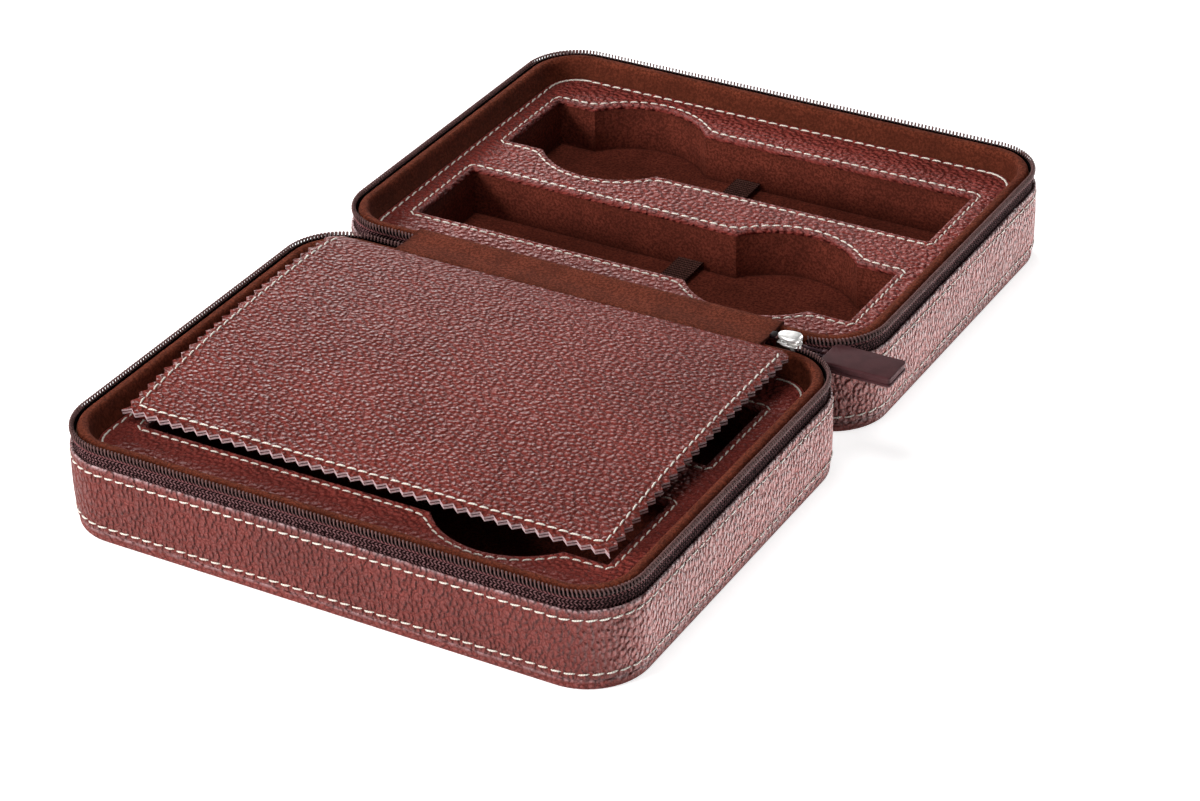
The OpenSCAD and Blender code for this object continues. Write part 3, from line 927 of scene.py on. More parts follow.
class CASE_OT_walls(CaseOperator):
    """Wall leather of both trays, with its folded top edge"""

    bl_idname = "case.walls"
    bl_label = "Wall leather"

    def build(self):
        puff = settings("leather").puff
        pitch = settings("thread").pitch
        stations = edge_stations(2 * round(EDGE_LEN / pitch))
        rows = ((0.75, 0.0, 0.1), (0.25, 0.12, 0.2), (0.02, 0.6, 0.1), (0.0, 1.4, 0.0),
                (0.16, 2.1, 0.0), (0.2, 2.4, 0.0), (0.16, 2.7, 0.0), (-0.02, 3.6, 0.0))
        profile = [(d * MM, WALL_Z + z * MM) for d, z, _ in rows]
        wear_and_shade = [w for _, _, w in rows]
        for i in range(1, 7):
            t = i / 7
            profile.append((-puff * math.sin(math.pi * t) - 0.02 * MM,
                            WALL_Z + (3.6 + 18.2 * t) * MM))
            wear_and_shade.append(0.0)
        top = ((-0.02, 4.1, 0.0), (0.18, 3.6, 0.0), (0.22, 3.3, 0.0), (0.18, 3.0, 0.0),
               (0.0, 2.2, 0.0), (0.0, 1.1, 0.05), (0.06, 0.45, 0.3), (0.3, 0.08, 0.9),
               (0.62, 0.0, 0.8), (1.0, 0.12, 0.4), (1.3, 0.5, 0.1), (1.4, 1.2, 0.0))
        for d, z, w in top:
            profile.append((d * MM, WALL_TOP - z * MM))
            wear_and_shade.append(w)
        profile.append((1.4 * MM, WALL_Z + 0.2 * MM))
        wear_and_shade.append(0.0)
        seams = (5, len(profile) - 11)
        for n, tray in enumerate(TRAYS):

            def shape(s, k, n=n):
                spot = edge_point(s, 0, profile[k][1])[0]
                move = wobble(spot, 45.0, 0.16 * MM, 3.0 + 9 * n)
                lift = wobble(spot, 30.0, 0.22 * MM, 7.0 + 9 * n) if k > 8 else 0.0
                if k == len(profile) - 1:
                    return 0.0, 0.0
                if k in seams:
                    move += 0.1 * MM * math.cos(math.tau * s / pitch)
                return move, lift

            bm = new_bmesh()
            made = sweep_edge(bm, profile, stations, shape=shape, wear_and_shade=wear_and_shade)
            close_profile(bm, made)
            lay_uv(bm, EDGE_LEN, 0.17 + 0.9 * n)
            to_tray(bm, tray)
            skin = leather_material("leather_wall", (1.22, 0.8, 1.0), 1.5 * MM, gloss=0.36)
            piece(bm, tray + "_wall_skin", [skin], body_of(tray),
                  [tray + "_wall_leather"])


class CASE_OT_wall_seams(CaseOperator):
    """Two rows of stitches round each tray's wall"""

    bl_idname = "case.wall_seams"
    bl_label = "Wall stitching"

    def build(self):
        pitch = settings("thread").pitch
        for tray in TRAYS:
            bm = mapped_bmesh()
            sew(bm, edge_seam(0.1 * MM, WALL_TOP - 3.3 * MM, pitch))
            sew(bm, edge_seam(0.1 * MM, WALL_Z + 2.4 * MM, pitch * 1.064), pitch * 0.99)
            to_tray(bm, tray)
            piece(bm, tray + "_wall_seams", [thread_material()], body_of(tray),
                  outward=False)


# ---- Zip ----


def zip_run(tray):
    """Where the zip starts and ends, as distances along a tray's edge."""
    near = -STRIP_X0 + ZIP_GAP
    far = SLIDER_X1 + ZIP_GAP
    return (near, EDGE_LEN - far) if tray == "back" else (far, EDGE_LEN - near)


class CASE_OT_tapes(CaseOperator):
    """Woven zip tapes, sewn behind the wall leather"""

    bl_idname = "case.tapes"
    bl_label = "Zip tapes"

    def build(self):
        profile = [(1.5, 22), (1.5, 29.5), (1.46, 31.5), (1.42, 33.2), (1.5, 34.6),
                   (1.75, 35.3), (1.95, 35.9), (2.05, 36.3), (2.25, 36.35), (2.4, 36.0),
                   (2.35, 35.2), (2.15, 34.5), (2.1, 33.5), (2.1, 29.5), (2.1, 22)]
        profile = [(d * MM, z * MM) for d, z in profile]
        for n, tray in enumerate(TRAYS):
            start, end = zip_run(tray)
            stations = edge_stations(240, start, end, closed=False)
            bm = new_bmesh()

            def shape(s, k, n=n):
                return wobble(edge_point(s)[0], 40.0, 0.15 * MM, 1.0 + 5 * n) if k < 5 else 0.0, 0.0

            # Painted shade: these marks darken the tape behind the coil
            dark = [0.0] * 4 + [0.4] + [1.0] * 8 + [0.0] * 2
            rows = sweep_edge(bm, profile, stations, closed=False, shape=shape, wear_and_shade=dark)
            close_tube(bm, rows)
            lay_uv(bm)
            to_tray(bm, tray)
            tape = piece(bm, tray + "_tape_weave", [tape_material()], body_of(tray),
                         [tray + "_zip_tape"])


def coil_turn(thick, tall, wire):
    """One turn of the coil about its own middle, lying along X, with a wider head on top."""
    bm = mapped_bmesh()
    ring = bmesh.ops.create_circle(bm, segments=5, radius=wire)
    bmesh.ops.translate(bm, verts=ring["verts"], vec=(0, thick, 0))
    bmesh.ops.spin(bm, geom=bm.verts[:] + bm.edges[:], cent=(0, 0, 0), axis=(1, 0, 0),
                   angle=math.tau, steps=12, use_merge=True, use_duplicate=False)
    for vert in bm.verts:
        angle = math.atan2(vert.co.z, vert.co.y)
        rise = math.sin(angle)
        vert.co.z += (tall - thick) * rise
        if rise > 0.7:
            vert.co.x *= 1.35
        vert.co.x += 0.16 * MM * rise - 0.5 * vert.co.y
    bmesh.ops.recalc_face_normals(bm, faces=bm.faces[:])
    mesh = bpy.data.meshes.new("turn")
    bm.to_mesh(mesh)
    bm.free()
    mesh.shade_smooth()
    return mesh


class CASE_OT_coils(CaseOperator):
    """Nylon coils along both tapes, with the thread that holds them"""

    bl_idname = "case.coils"
    bl_label = "Zip coils"

    def build(self):
        look = settings("zip")
        turn = coil_turn(0.55 * MM, 1.15 * MM, 0.31 * MM)
        knot = stitch_mesh(1.5 * MM, 0.48 * MM)
        for tray in TRAYS:
            start, end = zip_run(tray)
            count = round((end - start) / look.pitch)
            turns, knots = [], []
            for i in range(count):
                s = start + (end - start) * (i + 0.5) / count
                spot, inward = edge_point(s, COIL_IN, COIL_Z)
                ahead, _ = edge_point(s + AHEAD, COIL_IN, COIL_Z)
                turns.append(placed(spot, ahead - spot, Vector((0, 0, 1))))
                low, _ = edge_point(s + look.pitch * 0.5, 1.3 * MM, COIL_Z - 1.85 * MM)
                knots.append(placed(low, ahead - spot, -inward) @ Matrix.Rotation(-0.7, 4, "Z"))
            bm = mapped_bmesh()
            stamp(bm, turn, turns)
            to_tray(bm, tray)
            piece(bm, tray + "_coil", [nylon_material("coil_nylon", look.coil)],
                  body_of(tray), [tray + "_zip_chain"], outward=False)
            # Painted shade: the near-black cord inside the coil darkens the gaps between its turns
            bm = new_bmesh()
            core = [(0.3 * MM * math.cos(a), -0.65 * MM + 0.55 * MM * math.sin(a))
                    for a in (math.tau * i / 8 for i in range(8))]
            rows = sweep_edge(bm, [(COIL_IN + d, COIL_Z + z) for d, z in core],
                              edge_stations(300, start, end, closed=False), closed=False)
            close_tube(bm, rows)
            to_tray(bm, tray)
            piece(bm, tray + "_coil_cord",
                  [nylon_material("cord_nylon", linear(9, 5, 5), 0.8)],
                  body_of(tray))
            bm = mapped_bmesh()
            stamp(bm, knot, knots)
            to_tray(bm, tray)
            piece(bm, tray + "_coil_thread",
                  [nylon_material("coil_thread", linear(140, 86, 88), 0.6)],
                  body_of(tray), outward=False)
        bpy.data.meshes.remove(turn)
        bpy.data.meshes.remove(knot)


# ---- Suede rim, panel and pockets ----


class CASE_OT_rims(CaseOperator):
    """Padded suede lip and the skirt that slopes down to the panel"""

    bl_idname = "case.rims"
    bl_label = "Suede rims"

    def build(self):
        profile = [(3.15, 33.2), (3.1, 35.2), (3.2, 36.0), (3.55, 36.55), (4.1, 36.85),
                   (4.9, 36.97), (5.7, 36.92), (6.35, 36.65), (6.8, 36.15), (7.05, 35.4),
                   (7.3, 34.2), (7.9, 32.4), (8.6, 30.6), (9.2, 29.4), (9.75, 28.9),
                   (8.4, 28.95), (5.7, 33.1)]
        # Painted shade: the marks darken the skirt that slopes down to the panel
        wear_and_shade = [0.0] * 9 + [0.25, 0.5, 0.6, 0.65, 0.8, 0.95, 0.9, 0.0]
        profile = [(d * MM, z * MM) for d, z in profile]
        stations = edge_stations(370)
        for n, tray in enumerate(TRAYS):

            def shape(s, k, n=n):
                spot = edge_point(s, profile[k][0], profile[k][1])[0]
                soft = wobble(spot, 60.0, 0.14 * MM, 2.0 + 4 * n)
                return (soft, soft * 0.6) if 2 < k < 14 else (0.0, 0.0)

            bm = new_bmesh()
            rows = sweep_edge(bm, profile, stations, shape=shape, wear_and_shade=wear_and_shade)
            close_profile(bm, rows)
            lay_uv(bm, EDGE_LEN, 0.4 * n)
            to_tray(bm, tray)
            rim = piece(bm, tray + "_rim_suede",
                        [suede_material("suede_rim", settings("suede").rim)],
                        body_of(tray), [tray + "_rim_lining"])


def pocket_path(t, corner=0.6 * MM, soft=0):
    """Points round a pocket's opening, moved out by t, about the pocket's middle."""
    side, half, head = POCKET_SIDE + t, POCKET_HALF + t, HEAD_R + t
    reach = math.sqrt(head * head - side * side)
    lean = math.asin(side / head)
    right, left = -HEAD_X + reach, -HEAD_X - reach
    corner = max(corner + 0.15 * t, 0.3 * MM)

    def line(a, b, n):
        return [(a[0] + (b[0] - a[0]) * i / n, a[1] + (b[1] - a[1]) * i / n) for i in range(n)]

    def arc(x, y, r, a, b, n):
        return [(x + r * math.cos(a + (b - a) * i / n), y + r * math.sin(a + (b - a) * i / n))
                for i in range(n)]

    upper = line((half, 0), (half, side - corner), 7)
    upper += arc(half - corner, side - corner, corner, 0, math.pi / 2, 4)
    upper += line((half - corner, side), (right, side), 44)
    upper += arc(-HEAD_X, 0, head, lean, math.pi - lean, 40)
    upper += line((left, side), (-half + corner, side), 7)
    upper += arc(-half + corner, side - corner, corner, math.pi / 2, math.pi, 4)
    upper += line((-half, side - corner), (-half, 0), 7)
    points = upper + [(-half, 0)] + [(x, -y) for x, y in reversed(upper[1:])]
    points = [Vector((x, y, 0)) for x, y in points]
    notches = [Vector((x, y, 0)) for x in (left, right) for y in (-side, side)]
    near = [min((p - q).length for q in notches) < 9 * MM for p in points]
    for _ in range(soft):
        points = [(points[i - 1] + p * 2 + points[(i + 1) % len(points)]) / 4 if near[i] else p
                  for i, p in enumerate(points)]
    return points


def pocket_row(t, z, turn, corner=0.6 * MM, soft=0):
    """The same, in a tray: turn 0 is the far pocket and turn 1 the one by the hinge."""
    flip = -1 if turn else 1
    return [Vector((flip * p.x, flip * (p.y + POCKET_Y), z))
            for p in pocket_path(t, corner, soft)]


class CASE_OT_panels(CaseOperator):
    """Leather panels with two watch pockets each"""

    bl_idname = "case.panels"
    bl_label = "Panels"

    def build(self):
        top = PANEL_Z
        outer = [(5.6, -1.2), (5.6, 0.0), (9.2, 0.05), (10.4, 0.0), (10.85, -0.16),
                 (11.1, -0.2), (11.35, -0.16), (11.9, 0.02), (12.6, 0.08)]
        outer = [(d * MM, top + z * MM) for d, z in outer]
        welt = [(0.0, -1.9), (-0.05, -1.1), (0.02, -0.45), (0.3, -0.08), (0.8, 0.1), (1.6, 0.12),
                (2.15, -0.02), (2.4, -0.16), (2.65, -0.16), (2.95, -0.02), (3.6, 0.1)]
        worn = [0.0, 0.0, 0.1, 0.18, 0.08] + [0.0] * 6
        stations = edge_stations(338)
        for n, tray in enumerate(TRAYS):
            bm = new_bmesh()
            rows = sweep_edge(bm, outer, stations)
            rims = [rows[-1]]
            bottoms = [rows[0]]
            folds = []
            for turn in (0, 1):
                made = loft(bm, [pocket_row(t * MM, top + z * MM, turn, soft=3 if t > 2 else 0)
                                 for t, z in welt], wear_and_shade=worn)
                rims.append(made[-1])
                bottoms.append(made[0])
                folds += [(ring, pocket_row(t * MM, top, turn))
                          for ring, t in zip(made, (-2.1, -1.3, -0.6, 0.1))]
            for rings in (rims, bottoms):
                edges = [e for ring in rings for e in loop_edges(bm, ring)]
                bmesh.ops.triangle_fill(bm, edges=edges, use_beauty=True, use_dissolve=False,
                                        normal=(0, 0, 1))
            flat_uv(bm, 0.4 + n)
            for ring, spots in folds:
                for vert, spot in zip(ring, spots):
                    marked(bm, vert, spot.x + 0.4 + n, spot.y,
                           vert[bm.verts.layers.float["wear_and_shade"]])
            lay_uv(bm)
            to_tray(bm, tray)
            # The last 1.3 is the share: it lifts the panel leather's colour as painted light
            skin = leather_material("leather_panel", (0.95, 1.05, 1.0), 1.3 * MM, 1.3)
            piece(bm, tray + "_panel_skin", [skin], body_of(tray), [tray + "_panel"])


class CASE_OT_panel_seams(CaseOperator):
    """Stitches round the panels and round each pocket"""

    bl_idname = "case.panel_seams"
    bl_label = "Panel stitching"

    def build(self):
        up = Vector((0, 0, 1))
        pitch = settings("thread").pitch
        for tray in TRAYS:
            bm = mapped_bmesh()
            sew(bm, edge_seam(10.9 * MM, PANEL_Z - 0.1 * MM, pitch * 1.08, up), pitch)
            for turn in (0, 1):
                path = pocket_row(2.52 * MM, PANEL_Z - 0.08 * MM, turn, soft=3)
                sew(bm, path_seam(path, pitch * 0.93, up), pitch * 0.86)
            to_tray(bm, tray)
            piece(bm, tray + "_panel_seams", [thread_material()], body_of(tray),
                  outward=False)


class CASE_OT_linings(CaseOperator):
    """Suede tubs inside the watch pockets"""

    bl_idname = "case.linings"
    bl_label = "Pocket linings"

    def build(self):
        floor, lip = POCKET_Z, PANEL_Z - 1.25 * MM
        rows = [(0.8, floor - 0.8 * MM), (0.8, lip), (0.1, lip)]
        for i in range(1, 7):
            t = i / 7
            rows.append((0.1 - 0.35 * math.sin(math.pi * t), lip + (floor + 1.6 * MM - lip) * t))
        rows += [(0.0, floor + 1.2 * MM), (0.05, floor + 0.5 * MM), (-0.1, floor + 0.1 * MM),
                 (-0.5, floor + 0.16 * MM), (-1.2, floor + 0.3 * MM), (-2.5, floor + 0.34 * MM)]
        # Painted shade: the marks darken the top of the lining wall and the corner where it meets the floor
        wear_and_shade = [0.6, 0.6, 0.5, 0.1] + [0.0] * 5 + [0.2, 0.6, 1.0, 0.5, 0.1, 0.0]
        for tray in TRAYS:
            for turn, letter in enumerate("ab"):
                bm = new_bmesh()
                made = loft(bm, [pocket_row(t * MM, z, turn, 0.5 * MM) for t, z in rows],
                            wear_and_shade=wear_and_shade)
                for ring in (made[0], made[-1]):
                    bmesh.ops.triangle_fill(bm, edges=loop_edges(bm, ring), use_beauty=True,
                                            use_dissolve=False, normal=(0, 0, 1))
                to_tray(bm, tray)
                piece(bm, f"{tray}_pocket_suede_{letter}",
                      [suede_material("suede_lining", settings("suede").lining)],
                      body_of(tray), [f"{tray}_pocket_lining_{letter}"],
                      angle=math.radians(35))


class CASE_OT_bands(CaseOperator):
    """Ribbed elastic bands across the pockets"""

    bl_idname = "case.bands"
    bl_label = "Elastic bands"

    def build(self):
        ribs, half, side = 9, 5.1 * MM, POCKET_SIDE - 0.1 * MM
        across = [(-half, 0.25), (-half, 0.65)]
        for i in range(ribs * 4 + 1):
            x = -half + 2 * half * i / (ribs * 4)
            across.append((x, 0.78 + 0.12 * math.cos(math.tau * i / 4)))
        across += [(half, 0.65), (half, 0.25), (0, 0.0)]
        for tray in TRAYS:
            for turn, letter in enumerate("ab"):
                flip = -1 if turn else 1
                rows = []
                for i in range(21):
                    y = -side + 2 * side * i / 20
                    sag = 0.5 * MM * (1 - (y / side) ** 2)
                    rows.append([Vector((flip * (x - BAND_X), flip * (y + POCKET_Y),
                                         BAND_Z + z * MM - sag)) for x, z in across])
                bm = new_bmesh()
                made = loft(bm, rows)
                cap(bm, made)
                to_tray(bm, tray)
                band = piece(bm, f"{tray}_elastic_{letter}", [elastic_material()], body_of(tray),
                             [f"{tray}_band_{letter}"], angle=math.radians(60))


# ---- Hinge ----


def strip_rows(section, x0, x1, count):
    """Rows across the hinge, from x0 to x1, of a section of (y, z) from the hinge line."""
    return [[Vector((x0 + (x1 - x0) * i / (count - 1), HINGE_Y + y * MM, HINGE_Z + z * MM))
             for i in range(count)] for y, z in section]


class CASE_OT_hinge(CaseOperator):
    """Suede hinge strip over the rims and the leather web below it"""

    bl_idname = "case.hinge"
    bl_label = "Hinge strip"

    def build(self):
        top = [(-14.0, -1.05), (-12.4, -1.0), (-10.6, -0.55), (-9.6, -0.2), (-8.4, -0.02),
               (-7.0, 0.0), (-5.2, -0.1), (-3.4, -0.28), (-1.8, -0.42), (-0.7, -0.48),
               (0.0, -0.5), (0.7, -0.48), (1.8, -0.42), (3.4, -0.28), (5.2, -0.1), (7.0, 0.0),
               (8.3, -0.06), (9.1, -0.3), (9.5, -0.75)]
        low = [(y * 0.985, z - 1.0) for y, z in reversed(top)]
        bm = new_bmesh()
        count = 60
        rows = loft(bm, strip_rows(top + low, STRIP_X0 - 0.6 * MM, STRIP_X1 + 0.6 * MM, count),
                    closed=False)
        close_tube(bm, rows)
        # Painted shade: the mark darkens the strip's folded ends
        for row in rows:
            for vert in (row[0], row[-1]):
                marked(bm, vert, wear_and_shade=1.0)
        strip = piece(bm, "hinge_strip_suede",
                      [suede_material("suede_rim", settings("suede").rim)], None,
                      ["back_hinge_strip", "front_hinge_strip"], angle=math.radians(50))
        span = 2.4 * MM
        start = (0, HINGE_Y + span, HINGE_Z)
        end = (0, HINGE_Y - span, HINGE_Z)
        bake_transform(strip, "back_tray", "front_tray", start, end)
        half = [(4.05, -16.1), (4.05, -6.0), (4.0, -3.0), (3.7, -2.2), (3.0, -1.95), (1.6, -1.9)]
        inner = [(1.6, -1.25), (3.2, -1.3), (4.2, -1.6), (4.65, -2.6), (4.7, -6.0), (4.7, -16.1)]
        outside = half + [(0, -1.9)] + [(-y, z) for y, z in reversed(half)]
        inside = [(-y, z) for y, z in reversed(inner)] + [(0, -1.2)] + inner
        bm = new_bmesh()
        rows = loft(bm, strip_rows(outside + inside, STRIP_X0 + 0.05 * MM,
                                   STRIP_X1 - 0.05 * MM, count), closed=False,
                    u=[i * 2.5 * MM for i in range(count)],
                    v=run_length([(y * MM, z * MM) for y, z in outside + inside]))
        close_tube(bm, rows)
        lay_uv(bm)
        web = piece(bm, "hinge_web_leather", [leather_material("leather_web")], None,
                    ["back_hinge_web", "front_hinge_web"], angle=math.radians(50))
        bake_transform(web, "back_tray", "front_tray", start, end)


# ---- Divider page ----


def page_middle(s):
    share = s / PAGE_L
    return PAGE_RISE * 4 * share * (1 - share) - PAGE_DROP * share ** 2


def page_share(s):
    """Share of the page's full width at a distance s from its pivot line."""
    cut = PAGE_CORNER - max(min(s, PAGE_CORNER), 0.0)
    return 1 - (PAGE_CORNER - math.sqrt(PAGE_CORNER ** 2 - cut ** 2)) / (PAGE_W / 2)


def page_lift(s, lift):
    """Height over the page's middle, which thins towards the hinge."""
    t = min(max(s / (15 * MM), 0.0), 1.0)
    return lift * (0.3 + 0.7 * math.sin(t * math.pi / 2))


def page_place(x, s, lift=0.0):
    """Place on the page, s from its pivot line."""
    x, lift = x * page_share(s), page_lift(s, lift)
    slope = (page_middle(s + 1 * MM) - page_middle(s - 1 * MM)) / (2 * MM)
    n = Vector((0, slope, 1)).normalized()
    spot = PAGE_PIVOT + Vector((x, -s, page_middle(s)))
    soft = wobble((x, s, 0), 22.0, 0.3 * MM, 5.0)
    return spot + n * lift + Vector((0, 0, soft))


class CASE_OT_page(CaseOperator):
    """Divider page: two pinked leathers sewn round their edge"""

    bl_idname = "case.page"
    bl_label = "Divider page"

    def build(self):
        look = settings("page")
        nx, ny = 2 * look.teeth_x, 2 * look.teeth_y
        half, rim = PAGE_W / 2, look.tooth + 0.9 * MM

        def spread(i, n, low, high, first, last):
            if i == 0:
                return low
            if i == n:
                return high
            a = low + (rim if first else 0)
            b = high - (rim if last else 0)
            return a + (b - a) * ((i - first) / (n - first - last))

        layers = (("page_top_skin", "page_top_leather", 1.2),
                  ("page_under_skin", "page_under_leather", -1.2))
        for name, node, outer in layers:
            bm = new_bmesh()
            grid = bmesh.ops.create_grid(bm, x_segments=nx, y_segments=ny, size=1.0)["verts"]
            for vert in grid:
                i = round((vert.co.x + 1) / 2 * nx)
                j = round((1 - vert.co.y) / 2 * ny)
                x = spread(i, nx, -half, half, True, True)
                s = spread(j, ny, PAGE_START, PAGE_L, False, True)
                if i in (0, nx) and j % 2 and s > PAGE_CORNER:
                    x -= math.copysign(look.tooth, x)
                if j == ny and i % 2:
                    s -= look.tooth
                pressed = 0.8 if i in (0, nx) or j == ny else 1.0
                vert.co = page_place(x, s, outer * pressed * MM)
                marked(bm, vert, x, s)
            shell = bmesh.ops.extrude_face_region(bm, geom=bm.faces[:])["geom"]
            for vert in shell:
                if isinstance(vert, bmesh.types.BMVert):
                    s = vert[bm.verts.layers.float["v"]]
                    vert.co.z -= page_lift(s, outer * 0.6 * MM)
            bmesh.ops.recalc_face_normals(bm, faces=bm.faces[:])
            for face in bm.faces:
                if abs(face.normal.z) < 0.6:
                    face.material_index = 1
            lay_uv(bm, 0.0, 0.0 if outer > 0 else 0.5)
            skin = leather_material("leather_page", (1.02, 1.24, 1.0), gloss=0.08, rough=0.42)
            piece(bm, name, [skin, raw_edge_material()],
                  "page", [node], angle=math.radians(50))
        inset = look.tooth + 1.9 * MM
        corner = 1.5 * MM
        xs, s1 = half - inset, PAGE_L - inset
        path = [(-xs, 3 * MM), (-xs, s1 - corner), (-xs + corner, s1), (xs - corner, s1),
                (xs, s1 - corner), (xs, 3 * MM)]
        fine = []
        for (a, b), (c, d) in zip(path, path[1:]):
            n = max(1, round(math.hypot(c - a, d - b) / (2 * MM)))
            fine += [(a + (c - a) * i / n, b + (d - b) * i / n) for i in range(n)]
        fine.append(path[-1])
        bm = mapped_bmesh()
        for lift, out in ((1.22 * MM, 1), (-1.22 * MM, -1)):
            points = [page_place(x, s, lift) for x, s in fine]
            sew(bm, path_seam(points, settings("thread").pitch * 0.97, Vector((0, 0, out)),
                              closed=False))
        piece(bm, "page_seams", [thread_material()], "page", outward=False)


# ---- Slider and pull ----


def plate(bm, outline, z0, z1, bevel=0.25 * MM):
    """Metal plate from its outline, with softened edges."""
    row = [bm.verts.new((x, y, z0)) for x, y in outline]
    face = bm.faces.new(row)
    made = bmesh.ops.extrude_face_region(bm, geom=[face])["geom"]
    top = [g for g in made if isinstance(g, bmesh.types.BMVert)]
    bmesh.ops.translate(bm, verts=top, vec=(0, 0, z1 - z0))
    edges = [e for e in bm.edges if abs(e.verts[0].co.z - e.verts[1].co.z) < 1e-7
             and e.verts[0] in row + top and e.is_manifold]
    bmesh.ops.bevel(bm, geom=edges, offset=bevel, affect="EDGES", segments=3, profile=0.5,
                    material=-1)


def at_hinge(bm):
    bmesh.ops.translate(bm, verts=bm.verts[:], vec=(0, HINGE_Y, HINGE_Z))


def oval(x0, x1, widths):
    """Outline through half widths at even steps from x0 to x1."""
    n = len(widths) - 1
    upper = [(x0 + (x1 - x0) * i / n, w) for i, w in enumerate(widths)]
    return upper + [(x, -w) for x, w in reversed(upper) if w > 1e-9]


class CASE_OT_slider(CaseOperator):
    """Plated slider with its bridge, the zip's stop and the closed run of coil"""

    bl_idname = "case.slider"
    bl_label = "Zip slider"

    def build(self):
        look = settings("zip")
        metal = metal_material("bright_plating", look.metal, 0.42)
        x0, x1 = SLIDER_X0, SLIDER_X1
        widths = [w * MM for w in (0.7, 1.55, 2.1, 2.45, 2.7, 2.87, 2.99, 3.07, 3.1, 3.06, 2.9,
                                   2.45, 1.5)]
        bm = new_bmesh()
        shield = oval(x0, x1, widths)
        middle = (x0 + x1) / 2
        rows = [[Vector((middle + (x - middle) * k, y * k, z * MM)) for x, y in shield]
                for z, k in ((-0.5, 0.97), (-0.35, 1.0), (0.5, 1.0), (0.85, 0.96), (1.06, 0.87),
                             (1.2, 0.72), (1.28, 0.5), (1.3, 0.22))]
        made = loft(bm, rows)
        cap(bm, made)
        plate(bm, oval(x0, x1, widths), -2.65 * MM, -1.85 * MM)
        plate(bm, oval(x1 - 2.4 * MM, x1 - 0.2 * MM, [0.6 * MM, 0.8 * MM, 0.8 * MM, 0.5 * MM]),
              -1.9 * MM, 0.35 * MM, bevel=0.1 * MM)
        for side in (-1, 1):
            y = side * 2.35 * MM
            plate(bm, [(x0 + 0.6 * MM, y - 0.25 * MM), (x0 + 4.2 * MM, y - 0.25 * MM),
                       (x0 + 4.2 * MM, y + 0.25 * MM), (x0 + 0.6 * MM, y + 0.25 * MM)],
                  -1.87 * MM, -1.42 * MM, bevel=0.08 * MM)
        at_hinge(bm)
        piece(bm, "slider_plates", [metal], "slider", ["slider_body"],
              angle=math.radians(40))
        bm = new_bmesh()
        loop = [(x1 - 4.1 * MM, -2.6 * MM), (x1 - 4.1 * MM, -4.3 * MM), (x1 - 3.5 * MM, -4.85 * MM),
                (x1 - 0.7 * MM, -4.85 * MM), (x1 - 0.1 * MM, -4.3 * MM), (x1 - 0.1 * MM, -2.6 * MM)]
        inner = [(x1 - 3.3 * MM, -2.6 * MM), (x1 - 3.3 * MM, -3.9 * MM),
                 (x1 - 3.1 * MM, -4.1 * MM), (x1 - 1.1 * MM, -4.1 * MM),
                 (x1 - 0.95 * MM, -3.9 * MM), (x1 - 0.95 * MM, -2.6 * MM)]
        rows = []
        for (a, b), (c, d) in zip(loop, inner):
            rows.append([Vector((a, -0.7 * MM, b)), Vector((a, 0.7 * MM, b)),
                         Vector((c, 0.7 * MM, d)), Vector((c, -0.7 * MM, d))])
        made = loft(bm, rows)
        cap(bm, made)
        long_edges = [e for e in bm.edges if abs(e.verts[0].co.y - e.verts[1].co.y) < 1e-7]
        bmesh.ops.bevel(bm, geom=long_edges, offset=0.15 * MM, affect="EDGES", segments=2,
                        profile=0.5, material=-1)
        at_hinge(bm)
        piece(bm, "slider_bridge_loop", [metal], "slider", ["slider_bridge"],
              angle=math.radians(40))
        self.closed_run(look)

    def closed_run(self, look):
        stop0, stop1 = (p.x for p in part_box("zip_stop"))
        bm = new_bmesh()
        plate(bm, [(stop0, -1.6 * MM), (stop1, -1.6 * MM), (stop1, 1.6 * MM), (stop0, 1.6 * MM)],
              -1.55 * MM, 0.0, bevel=0.35 * MM)
        at_hinge(bm)
        piece(bm, "zip_end_stop", [nylon_material("stop_nylon", look.tape)], "zip_start",
              ["zip_stop"], angle=math.radians(50))
        chain0, chain1 = (p.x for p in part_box("closed_chain"))
        turn = coil_turn(0.45 * MM, 0.62 * MM, 0.26 * MM)
        places = []
        count = int((chain1 - chain0) / (look.pitch / 2))
        for i in range(count):
            side = 1 if i % 2 else -1
            x = chain0 + (i + 0.7) * look.pitch / 2
            spot = Vector((x, HINGE_Y + side * 0.62 * MM, HINGE_Z - 0.76 * MM))
            places.append(placed(spot, Vector((1, 0, 0)), Vector((0, -side, 0))))
        bm = mapped_bmesh()
        stamp(bm, turn, places)
        piece(bm, "closed_coils", [nylon_material("coil_nylon", look.coil)], "zip_start",
              ["closed_chain"], outward=False)
        bpy.data.meshes.remove(turn)


def rounded(l, w, r, left=None):
    """Rectangle with round corners, about its middle; the left ones may have their own radius."""
    points = []
    for cx, cy, start in ((1, 1, 0), (-1, 1, 90), (-1, -1, 180), (1, -1, 270)):
        bend = left if left and cx < 0 else r
        for i in range(CORNER_STEPS + 1):
            a = math.radians(start + 90 * i / CORNER_STEPS)
            points.append((cx * (l / 2 - bend) + bend * math.cos(a),
                           cy * (w / 2 - bend) + bend * math.sin(a)))
    return points


